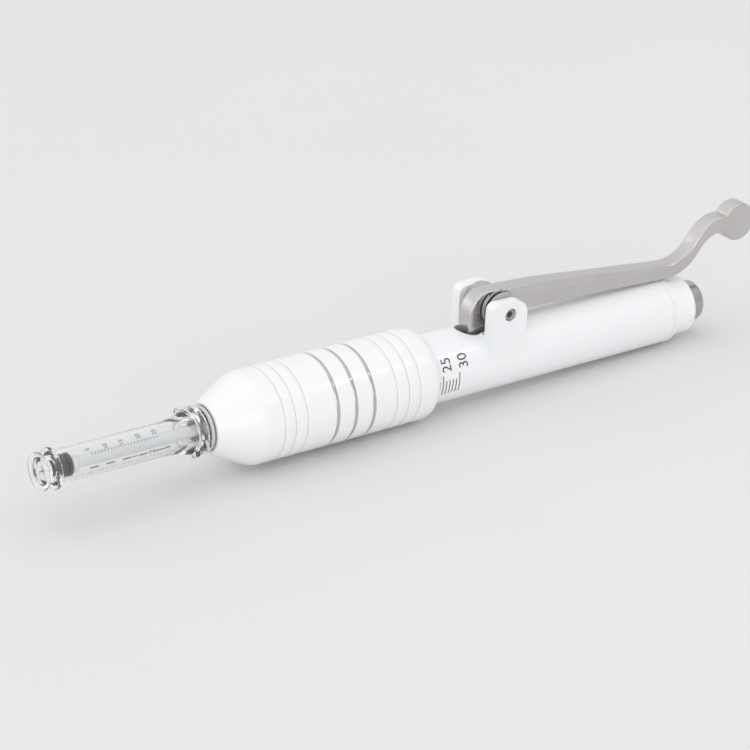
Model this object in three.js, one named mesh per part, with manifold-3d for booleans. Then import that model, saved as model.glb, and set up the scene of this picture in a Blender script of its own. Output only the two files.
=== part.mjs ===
// Needle-free dental injector pen, cocked by a hinged lever and dosed by a turning collar.
// Millimetres. The pen lies along X: the nozzle points to -X, the push button to +X, and the
// loading lever is on top, towards +Z. Stations along the pen are written in the pen's own
// frame, whose X axis is the axis of the tube. The last lines move the whole pen so that the
// origin is under its middle, level with the lowest line of the dose collar.

import * as THREE from 'three';
import { mergeVertices } from 'three/addons/utils/BufferGeometryUtils.js';
import Module from 'manifold-3d';

const wasm = await Module();
wasm.setup();

// ---------------------------------------------------------------- driving dimensions

const CLEARANCE = 0.3; // between pieces that touch or fit together
const RUNNING_CLEARANCE = 0.4; // between a piece and the bore that it slides in
const EDGE = 0.4; // small edge break on turned pieces
const OVERCUT = 1; // how far a cutting tool runs past the face that it leaves
const FINE_SIDES = 28; // flats round the large outer pieces
const SIDES = 24; // flats round the inner pieces
const SMALL_SIDES = 16;

// dose scale and screw
const SCALE_ZERO_X = 22.75; // rear edge of the collar at reading 0
const DIVISION = 1.1; // travel of one printed division
const READING = 23.5; // reading in the modelled pose
const LAST_READING = 30;

// tube
const TUBE_R = 9.8;
const TUBE_WALL = 2.2;
const TUBE_FRONT_X = 8;
const TUBE_LENGTH = 126;
const TUBE_REAR_X = TUBE_FRONT_X + TUBE_LENGTH;
const BORE_R = TUBE_R - TUBE_WALL;
const REAR_GROOVE_WIDTH = 0.5;
const REAR_GROOVE_DEPTH = 0.3;
const REAR_GROOVE_INSET = 1.3;

// hinge ears on the tube and the slot under the lever
const PIVOT_X = 72.5;
const PIVOT_HEIGHT = 5.6; // pivot above the top of the tube
const PIVOT_Z = TUBE_R + PIVOT_HEIGHT;
const PIN_R = 1.6;
const EAR_GAP = 12.1; // clear width between the ears
const EAR_FRONT = 6.2; // ear's front face ahead of the pivot
const EAR_REAR = 5.7;
const EAR_HALF_WIDTH = 9.5; // outer faces of the ears from the middle plane
const EAR_RISE = 3.8; // ear's top above the pivot
const EAR_FRONT_CORNER_R = 2.2;
const EAR_REAR_CORNER_R = 4;
const EAR_FLOOR_CUT = 0.6; // flat between the ears, below the top of the tube
const SLOT_WIDTH = 8;
const SLOT_FRONT = 11.3; // slot's front end ahead of the pivot
const SLOT_REAR = 7.5;
const PIN_RECESS = 0.5;
const PIN_COUNTERSINK = 0.3;

// dose collar
const COLLAR_R = 13;
const COLLAR_LENGTH = 69.6;
const COLLAR_REAR_X = SCALE_ZERO_X + READING * DIVISION;
const COLLAR_FRONT_X = COLLAR_REAR_X - COLLAR_LENGTH;
const NOSE_R = 7.2;
const NOSE_BORE_R = 6.4;
const NOSE_LENGTH = 13; // front face to the start of the full diameter
const NOSE_SHOULDER = 1.6; // rounding at the rear of the cone
const NOSE_SHOULDER_DROP = 0.4;
const COLLAR_BORE_R = TUBE_R + 0.35; // running fit on the tube
const COLLAR_END_TAPER = 3.6;
const COLLAR_END_ROUND = 1.2; // last part of the taper, which turns in to the rear edge
const COLLAR_END_DROP = 0.4;
const COLLAR_END_WALL = 0.35; // wall left at the rear edge
const NOSE_WALL_LENGTH = 17; // front face to the shoulder that the holder's flange seats on
const FINE_GROOVES = [17.44, 20.85, 24.65, 53.72, 57.66, 61.44]; // from the front face
const FINE_GROOVE_WIDTH = 0.5;
const FINE_GROOVE_DEPTH = 0.25;
const BAND_GROOVES = [34.35, 40.24, 46.17]; // from the front face
const BAND_GROOVE_WIDTH = 1.1;
const BAND_GROOVE_DEPTH = 0.3;

// ampoule holder, its retaining ring and key
const HOLDER_BORE_R = 5;
const FLANGE_R = 9.2;
const FLANGE_THICKNESS = 2.5;
const RING_THICKNESS = 1.2;
const RING_ENGAGEMENT = 0.15; // ring's outer radius beyond the collar's bore
const HOLDER_REAR_X = 39;
const KEY_X = TUBE_FRONT_X + 3;
const KEY_R = 1.3;
const KEY_REACH = 1.6; // key's end inside the bore

// clear ampoule
const AMPOULE_R = 4.55;
const AMPOULE_WALL = 1.1;
const AMPOULE_NECK_LENGTH = 44.5; // front face of the nozzle to the grip ring
const NOZZLE_DISC_R = 5.1;
const NOZZLE_DISC_THICKNESS = 1.4;
const NOZZLE_NECK_R = 3.6;
const NOZZLE_NECK_LENGTH = 2.2;
const FRONT_FLANGE_R = 5.7;
const FRONT_FLANGE_THICKNESS = 1.2;
const ORIFICE_R = 0.4;
const ORIFICE_LENGTH = 3.2;
const FRONT_BORE_R = 2.5;
const FLARE_LENGTH = 8;
const FLARE_SAG = 0.2; // growth over the flare's first half
const FLARE_STEP = 0.5; // step up from the flare to the grip ring
const GRIP_RING_R = 6.3;
const GRIP_RING_THICKNESS = 1.3;
const STUB_R = 4.7; // rear stub that enters the holder
const STUB_LENGTH = 6.1;
const LOBE_R = 1.5; // grip lobes on the rings
const LOBE_INSET = 0.5; // lobe's centre inside the ring's edge
const RING_LOBE_ANGLE = -0.74; // radians above the near side
const ADAPTER_LOBE_ANGLE = -0.26;
const ADAPTER_GAP = 0.9; // between the grip ring and the adapter
const GRIP_RING_LEAD = 6; // grip ring's front face ahead of the collar's
const ADAPTER_R = 6.7;
const ADAPTER_THICKNESS = 1.7;
const O_RING_WIRE_R = 0.5;
const O_RING_R = 5.5;

// plunger
const ROD_R = 1.7;
const ROD_HEAD_R = 2.6;
const ROD_HEAD_LENGTH = 1.4;
const ROD_HEAD_TAPER = 1;
const SEAL_LENGTH = 5.6;
const SEAL_RIB_LENGTH = 3;
const SEAL_NOSE_R = 2.2;
const SEAL_CHAMFER = 0.5;
const SEAL_GROOVE_DEPTH = 0.7;

// ram
const RAM_NOSE_R = 4.4;
const RAM_NOSE_X = -10;
const RAM_BORE_R = 2.6;
const RAM_BORE_DEPTH = 38.4;
const ROD_IN_RAM = 30; // how far the plunger rod reaches into the ram
const ROD_GRIP_SETBACK = 2;
const ROD_GRIP_THICKNESS = 1.6;
const PISTON_LENGTH = 21.5;
const TAIL_R = 1.7;
const HEAD_R = 1.9;
const HEAD_LENGTH = 3;
const NECK_R = 1.1;
const NECK_LENGTH = 3.2;
const NOTCH_SIDE_CLEARANCE = 0.6;
const NOTCH_FLOOR_DEPTH = 1.2; // notch floor below the pen's axis
const NOTCH_FLOOR_LENGTH = 4.7;
const NOTCH_WALL_GAP = 0.35; // between the foot and the notch's rear wall
const NOTCH_LEAN_RISE = 0.3; // where the rear wall starts to lean, above the foot's centre
const GRIP_GROOVE_DEPTH = 0.6; // groove in the ram for the rod's grip ring
const NECK_CHAMFER = 0.6;
const HEAD_RIM_LENGTH = 1.2;
const GUIDE_GAP = 0.85; // behind the holder's last position

// bush and buffer in front of the piston
const GUIDE_LENGTH = 9;
const BUFFER_LENGTH = 2;

// lever
const LEVER_THICKNESS = 5.2;
const LEVER_SWING = THREE.MathUtils.degToRad(60);
const FOOT_R = 1.6;
const FOOT_SETBACK = 7.4; // foot ahead of the pivot
const FOOT_Z = 3; // foot above the pen's axis
const HUB_R = 5.4;
const HUB_START = -0.3 * Math.PI; // ends of the hub's round underside
const HUB_END = -0.62 * Math.PI;
const FINGER_TOP_R = 6.9;
const BAR_FRONT_TOP = 5; // top of the bar above the pivot, at the hub
const BAR_REAR_HEIGHT = 4.2;
const BAR_FRONT_HEIGHT = 8;
const HUB_REAR = 7.7; // where the bar's underside begins, behind the pivot
const LEVER_BEVEL = 0.6; // broken edges along both sides
// The S bend's two curves turn from rising to level at these points, measured from the end of
// the tube and from the bar's underside.
const BEND_TOP_SETBACK = 10.4;
const BEND_TOP_RISE = 9.1;
const BEND_BOTTOM_SETBACK = 12.3;
const BEND_BOTTOM_RISE = 6.4;
const BEND_SLOPE = 1.5; // rise over run in the middle of the bend
const NECK_RISE = 10.5; // underside of the pad's neck above the bar's underside
const NECK_HEIGHT = 4.7;
const NECK_SETBACK = 20; // rear end of the bend behind the end of the tube
const PAD_R = 5.7;
const PAD_RISE = 12.4; // pad's centre above the bar's underside
const PAD_SETBACK = 26.5; // pad's centre behind the end of the tube

// closing spring and spacers on the pivot pin
const TORSION_WIRE_R = 0.35;
const TORSION_R = 5.1;
const TORSION_PITCH = 0.8;
const TORSION_STEPS = 16; // straight pieces of wire in one turn
const SIDE_WASHER_R = 5.2;
const SIDE_WASHER_THICKNESS = 0.7;
const SPACER_R = 4.6;

// main spring
const MAIN_WIRE_R = 0.9;
const MAIN_COIL_R = 5.2;
const MAIN_TURNS = 7.5;

// sear, its housing and spring
const CAP_SEAT_LENGTH = 4.5;
const CAP_SEAT_WALL = 1.2;
const HOUSING_LENGTH = 11.5;
const HOUSING_BORE_R = 2.9;
const PLATE_SETBACK = 4; // housing's front face to the plate
const PLATE_THICKNESS = 2.5;
const PLATE_HALF_WIDTH = 3.6;
const PLATE_BOTTOM = 4.8; // below the pen's axis
const PLATE_TOP = 4.4;
const PLATE_HOLE_R = 2.2;
const SEAR_RATIO = 0.5; // sear travel per trigger travel, the slope of the wedge
const TRIGGER_TRAVEL = 3;
const SEAR_TRAVEL = TRIGGER_TRAVEL * SEAR_RATIO;
const SEAR_SPRING_WIRE_R = 0.2;
const SEAR_SPRING_R = 1.1;
const SEAR_SPRING_TURNS = 3;

// end cap, button and stem
const CAP_R = 8.9;
const CAP_LENGTH = 7.9;
const CAP_EDGE_R = 0.9;
const CAP_LIP = 4.2;
const CAP_INNER_R = 7;
const BUTTON_R = 6;
const BUTTON_PROUD = 5.1;
const BUTTON_RIM_R = 1.8;
const BUTTON_FLANGE_R = 6.7;
const BUTTON_FLANGE_THICKNESS = 1.5;
const STEM_SHANK_R = 2;
const STEM_SHANK_LENGTH = 4.4;
const STEM_DISC_R = 4.3;
const STEM_DISC_THICKNESS = 1.5;
const PRONG_HALF_WIDTH = 1.6;
const PRONG_BOTTOM = 6.3; // below the pen's axis
const PRONG_ROOT = 1; // top of the prong's root, below the pen's axis
const BUTTON_SPRING_R = 3.4;
const BUTTON_SPRING_WIRE_R = 0.25;
const BUTTON_SPRING_TURNS = 2.5;

// ---------------------------------------------------------------- stations that follow

const HOLDER_FLANGE_X = COLLAR_FRONT_X + NOSE_WALL_LENGTH + CLEARANCE;
const RING_X = HOLDER_FLANGE_X + FLANGE_THICKNESS + CLEARANCE;
const RING_R = COLLAR_BORE_R + RING_ENGAGEMENT;
const SLEEVE_R = BORE_R - RUNNING_CLEARANCE;
const PISTON_R = BORE_R - RUNNING_CLEARANCE;
const FIXED_FIT_R = BORE_R - CLEARANCE; // outer radius of pieces fixed in the bore

const BACK_STOP_X = HOLDER_REAR_X + (LAST_READING - READING) * DIVISION;
const GUIDE_X = BACK_STOP_X + GUIDE_GAP;
const BUFFER_X = GUIDE_X + GUIDE_LENGTH + CLEARANCE;
const PISTON_X = BUFFER_X + BUFFER_LENGTH + CLEARANCE;
const PISTON_REAR_X = PISTON_X + PISTON_LENGTH;

const FOOT_X = PIVOT_X - FOOT_SETBACK;
const FOOT_DROP = PIVOT_Z - FOOT_Z;
const RAM_TRAVEL = FOOT_DROP * Math.sin(LEVER_SWING) + FOOT_SETBACK * (1 - Math.cos(LEVER_SWING));

const HOUSING_REAR_X = TUBE_REAR_X - CAP_SEAT_LENGTH;
const HOUSING_X = HOUSING_REAR_X - HOUSING_LENGTH;
const PLATE_X = HOUSING_X + PLATE_SETBACK;
const PLATE_REAR_X = PLATE_X + PLATE_THICKNESS;
const HEAD_X = PLATE_REAR_X + CLEARANCE - RAM_TRAVEL;
const SEAT_R = TUBE_R - CAP_SEAT_WALL;

const CAP_X = TUBE_REAR_X + CLEARANCE;
const CAP_REAR_X = CAP_X + CAP_LENGTH;
const BUTTON_X = CAP_REAR_X - CAP_LIP - CLEARANCE - BUTTON_FLANGE_THICKNESS;
const STEM_X = BUTTON_X - CLEARANCE - STEM_DISC_THICKNESS;

const RING_FRONT_X = COLLAR_FRONT_X - GRIP_RING_LEAD;
const NOZZLE_X = RING_FRONT_X - AMPOULE_NECK_LENGTH;
const BARREL_FRONT_X = NOZZLE_X + NOZZLE_DISC_THICKNESS + NOZZLE_NECK_LENGTH + FRONT_FLANGE_THICKNESS;
const AMPOULE_BORE_R = AMPOULE_R - AMPOULE_WALL;
const STUB_X = RING_FRONT_X + GRIP_RING_THICKNESS;
const ADAPTER_X = STUB_X + ADAPTER_GAP;
const SEAL_X = NOZZLE_X + ORIFICE_LENGTH + CLEARANCE;
const ROD_X = SEAL_X + SEAL_LENGTH + CLEARANCE;
const FRONT_BORE_LENGTH = SEAL_LENGTH - SEAL_RIB_LENGTH; // narrow bore, round the seal's nose

const LEVER_TAIL_X = TUBE_REAR_X + PAD_SETBACK + PAD_R;

// ---------------------------------------------------------------- materials

function finish(color, roughness, metalness) {
  return new THREE.MeshStandardMaterial({ color, roughness, metalness });
}

const WHITE_PAINT = finish(0xe6ebec, 0.3, 0);
const BRUSHED_STEEL = finish(0xbdb7ad, 0.35, 1);
const SPRING_STEEL = finish(0x9a9c9f, 0.3, 1);
const POLISHED_STEEL = finish(0xc9cbce, 0.15, 1);
const CLEAR_PLASTIC = finish(0xe9eef0, 0.08, 0);
const BLACK_RUBBER = finish(0x17181a, 0.6, 0);
const WHITE_PLASTIC = finish(0xf1f2f0, 0.45, 0);
const GREY_PLASTIC = finish(0x8d9297, 0.5, 0);
const BRASS = finish(0xb08d4f, 0.35, 1);

// ---------------------------------------------------------------- solids

// A closed solid from a three.js geometry, whichever way its faces point.
function solid(geometry) {
  const bare = geometry.clone();
  bare.deleteAttribute('normal');
  bare.deleteAttribute('uv');
  const merged = mergeVertices(bare, 1e-5);
  const corners = merged.index.array;
  const kept = [];
  for (let i = 0; i < corners.length; i += 3) {
    const [a, b, c] = [corners[i], corners[i + 1], corners[i + 2]];
    if (a !== b && b !== c && c !== a) kept.push(a, b, c);
  }
  const vertProperties = new Float32Array(merged.attributes.position.array);
  const facing = (triangles) => {
    const triVerts = Uint32Array.from(triangles);
    return new wasm.Manifold(new wasm.Mesh({ numProp: 3, vertProperties, triVerts }));
  };
  const body = facing(kept);
  return body.volume() < 0 ? facing(kept.reverse()) : body;
}

// A piece turned about the pen's axis; the profile is a closed list of [station, radius].
function turned(profile, sides = SIDES) {
  const points = profile.map(([x, r]) => new THREE.Vector2(r, x));
  const lathe = new THREE.LatheGeometry(points, sides);
  lathe.rotateZ(-Math.PI / 2);
  return solid(lathe);
}

// A plain ring or disc about the pen's axis, with broken outer edges.
function ring(x, length, outer, inner, edge = 0, sides = SIDES) {
  const front = [x, outer - edge];
  const rear = [x + length, outer - edge];
  const shoulders = edge ? [[x + edge, outer], [x + length - edge, outer]] : [];
  return turned([[x, inner], front, ...shoulders, rear, [x + length, inner], [x, inner]], sides);
}

// A side outline (X, Z) made into a plate across the pen, centred on its axis.
function across(shape, width) {
  const plate = new THREE.ExtrudeGeometry(shape, { depth: width, bevelEnabled: false, curveSegments: 8 });
  plate.rotateX(Math.PI / 2);
  plate.translate(0, width / 2, 0);
  return solid(plate);
}

// A section (Y, Z) made into a bar along the pen, starting at station x.
function along(shape, x, length) {
  const bar = new THREE.ExtrudeGeometry(shape, { depth: length, bevelEnabled: false, curveSegments: 6 });
  bar.rotateX(Math.PI / 2);
  bar.rotateZ(Math.PI / 2);
  bar.translate(x, 0, 0);
  return solid(bar);
}

function block(x0, x1, y0, y1, z0, z1) {
  const box = new THREE.BoxGeometry(x1 - x0, y1 - y0, z1 - z0);
  box.translate((x0 + x1) / 2, (y0 + y1) / 2, (z0 + z1) / 2);
  return solid(box);
}

// A cylinder or cone across the pen, through the pivot.
function pivotCylinder(r0, r1, y0, y1, sides = SIDES) {
  const cylinder = new THREE.CylinderGeometry(r1, r0, y1 - y0, sides);
  cylinder.translate(PIVOT_X, (y0 + y1) / 2, PIVOT_Z);
  return solid(cylinder);
}

// A helix along +X that starts at the origin, for wire springs.
class Helix extends THREE.Curve {
  constructor(radius, length, turns) {
    super();
    this.radius = radius;
    this.length = length;
    this.turns = turns;
  }

  getPoint(t) {
    const angle = 2 * Math.PI * this.turns * t;
    return new THREE.Vector3(this.length * t, this.radius * Math.cos(angle), this.radius * Math.sin(angle));
  }
}

function coil(radius, length, turns, wireR, stepsPerTurn = 12) {
  const wire = new THREE.Shape().absarc(0, 0, wireR, 0, 2 * Math.PI);
  const path = new Helix(radius, length, turns);
  const steps = Math.round(turns * stepsPerTurn);
  return new THREE.ExtrudeGeometry(wire, { steps, extrudePath: path, curveSegments: 3 });
}

function meshOf(name, body, material) {
  const { vertProperties, triVerts } = body.getMesh();
  const geometry = new THREE.BufferGeometry();
  geometry.setAttribute('position', new THREE.BufferAttribute(Float32Array.from(vertProperties), 3));
  geometry.setIndex(new THREE.BufferAttribute(Uint32Array.from(triVerts), 1));
  geometry.computeVertexNormals();
  const mesh = new THREE.Mesh(geometry, material);
  mesh.name = name;
  return mesh;
}

// ---------------------------------------------------------------- tube and hinge

function earOutline() {
  const front = PIVOT_X - EAR_FRONT;
  const rear = PIVOT_X + EAR_REAR;
  const top = PIVOT_Z + EAR_RISE;
  const shape = new THREE.Shape();
  shape.moveTo(front, 0);
  shape.lineTo(rear, 0);
  const rearR = EAR_REAR_CORNER_R;
  const frontR = EAR_FRONT_CORNER_R;
  shape.lineTo(rear, top - rearR);
  shape.absarc(rear - rearR, top - rearR, rearR, 0, Math.PI / 2);
  shape.absarc(front + frontR, top - frontR, frontR, Math.PI / 2, Math.PI);
  shape.lineTo(front, 0);
  return shape;
}

function leverSlot() {
  const half = SLOT_WIDTH / 2;
  const front = PIVOT_X - SLOT_FRONT + half;
  const rear = PIVOT_X + SLOT_REAR - half;
  const plan = new THREE.Shape();
  plan.absarc(front, 0, half, Math.PI / 2, 1.5 * Math.PI);
  plan.absarc(rear, 0, half, -Math.PI / 2, Math.PI / 2);
  const depth = TUBE_R + CLEARANCE;
  return solid(new THREE.ExtrudeGeometry(plan, { depth, bevelEnabled: false, curveSegments: 8 }));
}

function mainTube() {
  const grooveRear = TUBE_REAR_X - REAR_GROOVE_INSET;
  const grooveFront = grooveRear - REAR_GROOVE_WIDTH;
  const barrel = turned([
    [TUBE_FRONT_X, BORE_R],
    [TUBE_FRONT_X, TUBE_R - EDGE],
    [TUBE_FRONT_X + EDGE, TUBE_R],
    [grooveFront, TUBE_R],
    [grooveFront, TUBE_R - REAR_GROOVE_DEPTH],
    [grooveRear, TUBE_R - REAR_GROOVE_DEPTH],
    [grooveRear, TUBE_R],
    [TUBE_REAR_X - EDGE, TUBE_R],
    [TUBE_REAR_X, TUBE_R - EDGE],
    [TUBE_REAR_X, SEAT_R],
    [HOUSING_REAR_X, SEAT_R],
    [HOUSING_REAR_X, BORE_R],
    [TUBE_FRONT_X, BORE_R],
  ], FINE_SIDES);
  const bore = ring(TUBE_FRONT_X, TUBE_LENGTH - OVERCUT, BORE_R, 0, 0, FINE_SIDES);
  const ears = across(earOutline(), 2 * EAR_HALF_WIDTH).subtract(bore);
  const earTop = PIVOT_Z + EAR_RISE + OVERCUT;
  const gap = block(
    PIVOT_X - EAR_FRONT, PIVOT_X + EAR_REAR,
    -EAR_GAP / 2, EAR_GAP / 2,
    TUBE_R - EAR_FLOOR_CUT, earTop,
  );
  const pinHoleR = PIN_R + CLEARANCE;
  const sinkR = pinHoleR + PIN_COUNTERSINK;
  const face = EAR_HALF_WIDTH;
  const pinHole = pivotCylinder(pinHoleR, pinHoleR, -face - OVERCUT, face + OVERCUT);
  const nearSink = pivotCylinder(sinkR, pinHoleR, -face, -face + PIN_COUNTERSINK);
  const farSink = pivotCylinder(pinHoleR, sinkR, face - PIN_COUNTERSINK, face);
  return barrel
    .add(ears)
    .subtract(gap)
    .subtract(leverSlot())
    .subtract(pinHole)
    .subtract(nearSink)
    .subtract(farSink)
    .subtract(keyCylinder(KEY_R + CLEARANCE, TUBE_R + OVERCUT, 0));
}

function pivotPin() {
  const end = EAR_HALF_WIDTH - PIN_RECESS;
  const shank = pivotCylinder(PIN_R, PIN_R, -end + EDGE, end - EDGE);
  const nearEnd = pivotCylinder(PIN_R - EDGE, PIN_R, -end, -end + EDGE);
  const farEnd = pivotCylinder(PIN_R, PIN_R - EDGE, end - EDGE, end);
  return shank.add(nearEnd).add(farEnd);
}

function keyCylinder(radius, depth, reach) {
  const cylinder = new THREE.CylinderGeometry(radius, radius, depth - reach, SMALL_SIDES);
  cylinder.rotateX(Math.PI / 2);
  cylinder.translate(KEY_X, 0, -(depth + reach) / 2);
  return solid(cylinder);
}

function keyScrew() {
  return keyCylinder(KEY_R, TUBE_R - 2 * CLEARANCE, BORE_R - KEY_REACH);
}

// The closing spring is wound round the pin, between the lever and the near ear.
const WASHER_NEAR_Y = -EAR_GAP / 2 + CLEARANCE;
const WASHER_FAR_Y = WASHER_NEAR_Y + SIDE_WASHER_THICKNESS;
const TORSION_NEAR_Y = WASHER_FAR_Y + CLEARANCE + TORSION_WIRE_R;
const TORSION_FAR_Y = -LEVER_THICKNESS / 2 - CLEARANCE - TORSION_WIRE_R;

function torsionSpring() {
  const length = TORSION_FAR_Y - TORSION_NEAR_Y;
  const wire = coil(TORSION_R, length, length / TORSION_PITCH, TORSION_WIRE_R, TORSION_STEPS);
  wire.rotateZ(Math.PI / 2);
  wire.translate(PIVOT_X, TORSION_NEAR_Y, PIVOT_Z);
  return solid(wire);
}

function pivotSpacer(radius, y0, y1) {
  const hole = pivotCylinder(PIN_R + CLEARANCE, PIN_R + CLEARANCE, y0 - OVERCUT, y1 + OVERCUT);
  return pivotCylinder(radius, radius, y0, y1).subtract(hole);
}

function sideWasher() {
  return pivotSpacer(SIDE_WASHER_R, WASHER_NEAR_Y, WASHER_FAR_Y);
}

function spacerBush() {
  return pivotSpacer(SPACER_R, LEVER_THICKNESS / 2 + CLEARANCE, EAR_GAP / 2 - CLEARANCE);
}

// ---------------------------------------------------------------- loading lever

// Side outline of the lever: the foot and the finger in front of the pivot, the long bar, the
// S bend that climbs past the end of the tube, and the round pad for the thumb.
function leverOutline() {
  const fingerX = FOOT_X - FOOT_R;
  const kneeX = fingerX + FINGER_TOP_R;
  const topZ = PIVOT_Z + BAR_FRONT_TOP;
  const bottomZ = TUBE_R + CLEARANCE;
  const barTopZ = bottomZ + BAR_REAR_HEIGHT;
  const neckX = TUBE_REAR_X + NECK_SETBACK;
  const neckBottomZ = bottomZ + NECK_RISE;
  const neckTopZ = neckBottomZ + NECK_HEIGHT;
  const padX = TUBE_REAR_X + PAD_SETBACK;
  const padZ = bottomZ + PAD_RISE;
  const padTop = Math.PI - Math.asin((neckTopZ - padZ) / PAD_R);
  const padBottom = -Math.PI + Math.asin((padZ - neckBottomZ) / PAD_R);
  const topTurnX = TUBE_REAR_X + BEND_TOP_SETBACK;
  const topTurnZ = bottomZ + BEND_TOP_RISE;
  const bottomTurnX = TUBE_REAR_X + BEND_BOTTOM_SETBACK;
  const bottomTurnZ = bottomZ + BEND_BOTTOM_RISE;

  const shape = new THREE.Shape();
  shape.moveTo(fingerX, FOOT_Z);
  shape.lineTo(fingerX, topZ - FINGER_TOP_R);
  shape.absarc(kneeX, topZ - FINGER_TOP_R, FINGER_TOP_R, Math.PI, Math.PI / 2, true);
  shape.lineTo(TUBE_REAR_X, barTopZ);
  shape.quadraticCurveTo(topTurnX - (topTurnZ - barTopZ) / BEND_SLOPE, barTopZ, topTurnX, topTurnZ);
  shape.quadraticCurveTo(topTurnX + (neckTopZ - topTurnZ) / BEND_SLOPE, neckTopZ, neckX, neckTopZ);
  shape.absarc(padX, padZ, PAD_R, padTop, padBottom, true);
  shape.lineTo(neckX, neckBottomZ);
  const rise = neckBottomZ - bottomTurnZ;
  shape.quadraticCurveTo(bottomTurnX + rise / BEND_SLOPE, neckBottomZ, bottomTurnX, bottomTurnZ);
  shape.quadraticCurveTo(bottomTurnX - BEND_BOTTOM_RISE / BEND_SLOPE, bottomZ, TUBE_REAR_X, bottomZ);
  shape.lineTo(PIVOT_X + HUB_REAR, topZ - BAR_FRONT_HEIGHT);
  shape.absarc(PIVOT_X, PIVOT_Z, HUB_R, HUB_START, HUB_END, true);
  shape.lineTo(FOOT_X + FOOT_R, FOOT_Z);
  shape.absarc(FOOT_X, FOOT_Z, FOOT_R, 0, -Math.PI, true);
  return shape;
}

function cockingLever() {
  const plate = new THREE.ExtrudeGeometry(leverOutline(), {
    depth: LEVER_THICKNESS - 2 * LEVER_BEVEL,
    bevelThickness: LEVER_BEVEL,
    bevelSize: LEVER_BEVEL,
    bevelOffset: -LEVER_BEVEL,
    bevelSegments: 1,
    curveSegments: 7,
  });
  plate.rotateX(Math.PI / 2);
  plate.translate(0, LEVER_THICKNESS / 2 - LEVER_BEVEL, 0);
  const half = LEVER_THICKNESS / 2 + OVERCUT;
  const hole = pivotCylinder(PIN_R + CLEARANCE, PIN_R + CLEARANCE, -half, half);
  return solid(plate).subtract(hole);
}

// ---------------------------------------------------------------- dose collar

function groovePoints(centre, width, depth) {
  const front = COLLAR_FRONT_X + centre - width / 2;
  const rear = front + width;
  return [
    [front, COLLAR_R],
    [front + depth / 2, COLLAR_R - depth],
    [rear - depth / 2, COLLAR_R - depth],
    [rear, COLLAR_R],
  ];
}

function vGroovePoints(centre, width, depth) {
  const x = COLLAR_FRONT_X + centre;
  return [[x - width / 2, COLLAR_R], [x, COLLAR_R - depth], [x + width / 2, COLLAR_R]];
}

function doseCollar() {
  const fine = FINE_GROOVES.map((at) => vGroovePoints(at, FINE_GROOVE_WIDTH, FINE_GROOVE_DEPTH));
  const bands = BAND_GROOVES.map((at) => groovePoints(at, BAND_GROOVE_WIDTH, BAND_GROOVE_DEPTH));
  const grooves = [...fine, ...bands].flat().sort((p, q) => p[0] - q[0]);
  const shoulderX = COLLAR_FRONT_X + NOSE_LENGTH;
  const cavityX = COLLAR_FRONT_X + NOSE_WALL_LENGTH;
  const ringGrooveR = RING_R + CLEARANCE;
  const ringFront = RING_X - CLEARANCE;
  const ringRear = RING_X + RING_THICKNESS + CLEARANCE;
  const noseCurve = new THREE.QuadraticBezierCurve(
    new THREE.Vector2(shoulderX - 2 * NOSE_SHOULDER, COLLAR_R - 2 * NOSE_SHOULDER_DROP),
    new THREE.Vector2(shoulderX - NOSE_SHOULDER, COLLAR_R),
    new THREE.Vector2(shoulderX, COLLAR_R),
  );
  const taper = new THREE.QuadraticBezierCurve(
    new THREE.Vector2(COLLAR_REAR_X - COLLAR_END_TAPER, COLLAR_R),
    new THREE.Vector2(COLLAR_REAR_X - COLLAR_END_ROUND, COLLAR_R - COLLAR_END_DROP),
    new THREE.Vector2(COLLAR_REAR_X, COLLAR_BORE_R + COLLAR_END_WALL),
  );
  return turned([
    [COLLAR_FRONT_X, NOSE_BORE_R],
    [COLLAR_FRONT_X, NOSE_R - EDGE],
    ...noseCurve.getPoints(6).map((p) => [p.x, p.y]),
    ...grooves,
    ...taper.getPoints(4).map((p) => [p.x, p.y]),
    [COLLAR_REAR_X, COLLAR_BORE_R],
    [ringRear, COLLAR_BORE_R],
    [ringRear, ringGrooveR],
    [ringFront, ringGrooveR],
    [ringFront, COLLAR_BORE_R],
    [cavityX, COLLAR_BORE_R],
    [cavityX, NOSE_BORE_R],
    [COLLAR_FRONT_X, NOSE_BORE_R],
  ], FINE_SIDES);
}

function retainingRing() {
  return ring(RING_X, RING_THICKNESS, RING_R, SLEEVE_R + CLEARANCE);
}

// ---------------------------------------------------------------- ampoule holder

function ampouleHolder() {
  const noseR = NOSE_BORE_R - CLEARANCE;
  const flangeRear = HOLDER_FLANGE_X + FLANGE_THICKNESS;
  const sleeve = turned([
    [COLLAR_FRONT_X, HOLDER_BORE_R],
    [COLLAR_FRONT_X, noseR - EDGE],
    [COLLAR_FRONT_X + EDGE, noseR],
    [HOLDER_FLANGE_X, noseR],
    [HOLDER_FLANGE_X, FLANGE_R],
    [flangeRear, FLANGE_R],
    [flangeRear, SLEEVE_R],
    [HOLDER_REAR_X, SLEEVE_R],
    [HOLDER_REAR_X, HOLDER_BORE_R],
    [COLLAR_FRONT_X, HOLDER_BORE_R],
  ]);
  const slotHalf = KEY_R + CLEARANCE;
  const slotFront = KEY_X - (LAST_READING - READING) * DIVISION - slotHalf - CLEARANCE;
  const keyway = block(
    slotFront, HOLDER_REAR_X + OVERCUT,
    -slotHalf, slotHalf,
    -SLEEVE_R - OVERCUT, -HOLDER_BORE_R + OVERCUT,
  );
  return sleeve.subtract(keyway);
}

// ---------------------------------------------------------------- ampoule

function gripLobe(x, thickness, radius, angle) {
  const disc = new THREE.CylinderGeometry(LOBE_R, LOBE_R, thickness, SMALL_SIDES);
  disc.rotateZ(Math.PI / 2);
  disc.translate(x + thickness / 2, -radius * Math.cos(angle), radius * Math.sin(angle));
  return solid(disc);
}

// Two lobes on opposite sides, at an angle above the near side.
function gripLobes(x, thickness, radius, angle) {
  return gripLobe(x, thickness, radius, angle).add(gripLobe(x, thickness, radius, angle + Math.PI));
}

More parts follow.
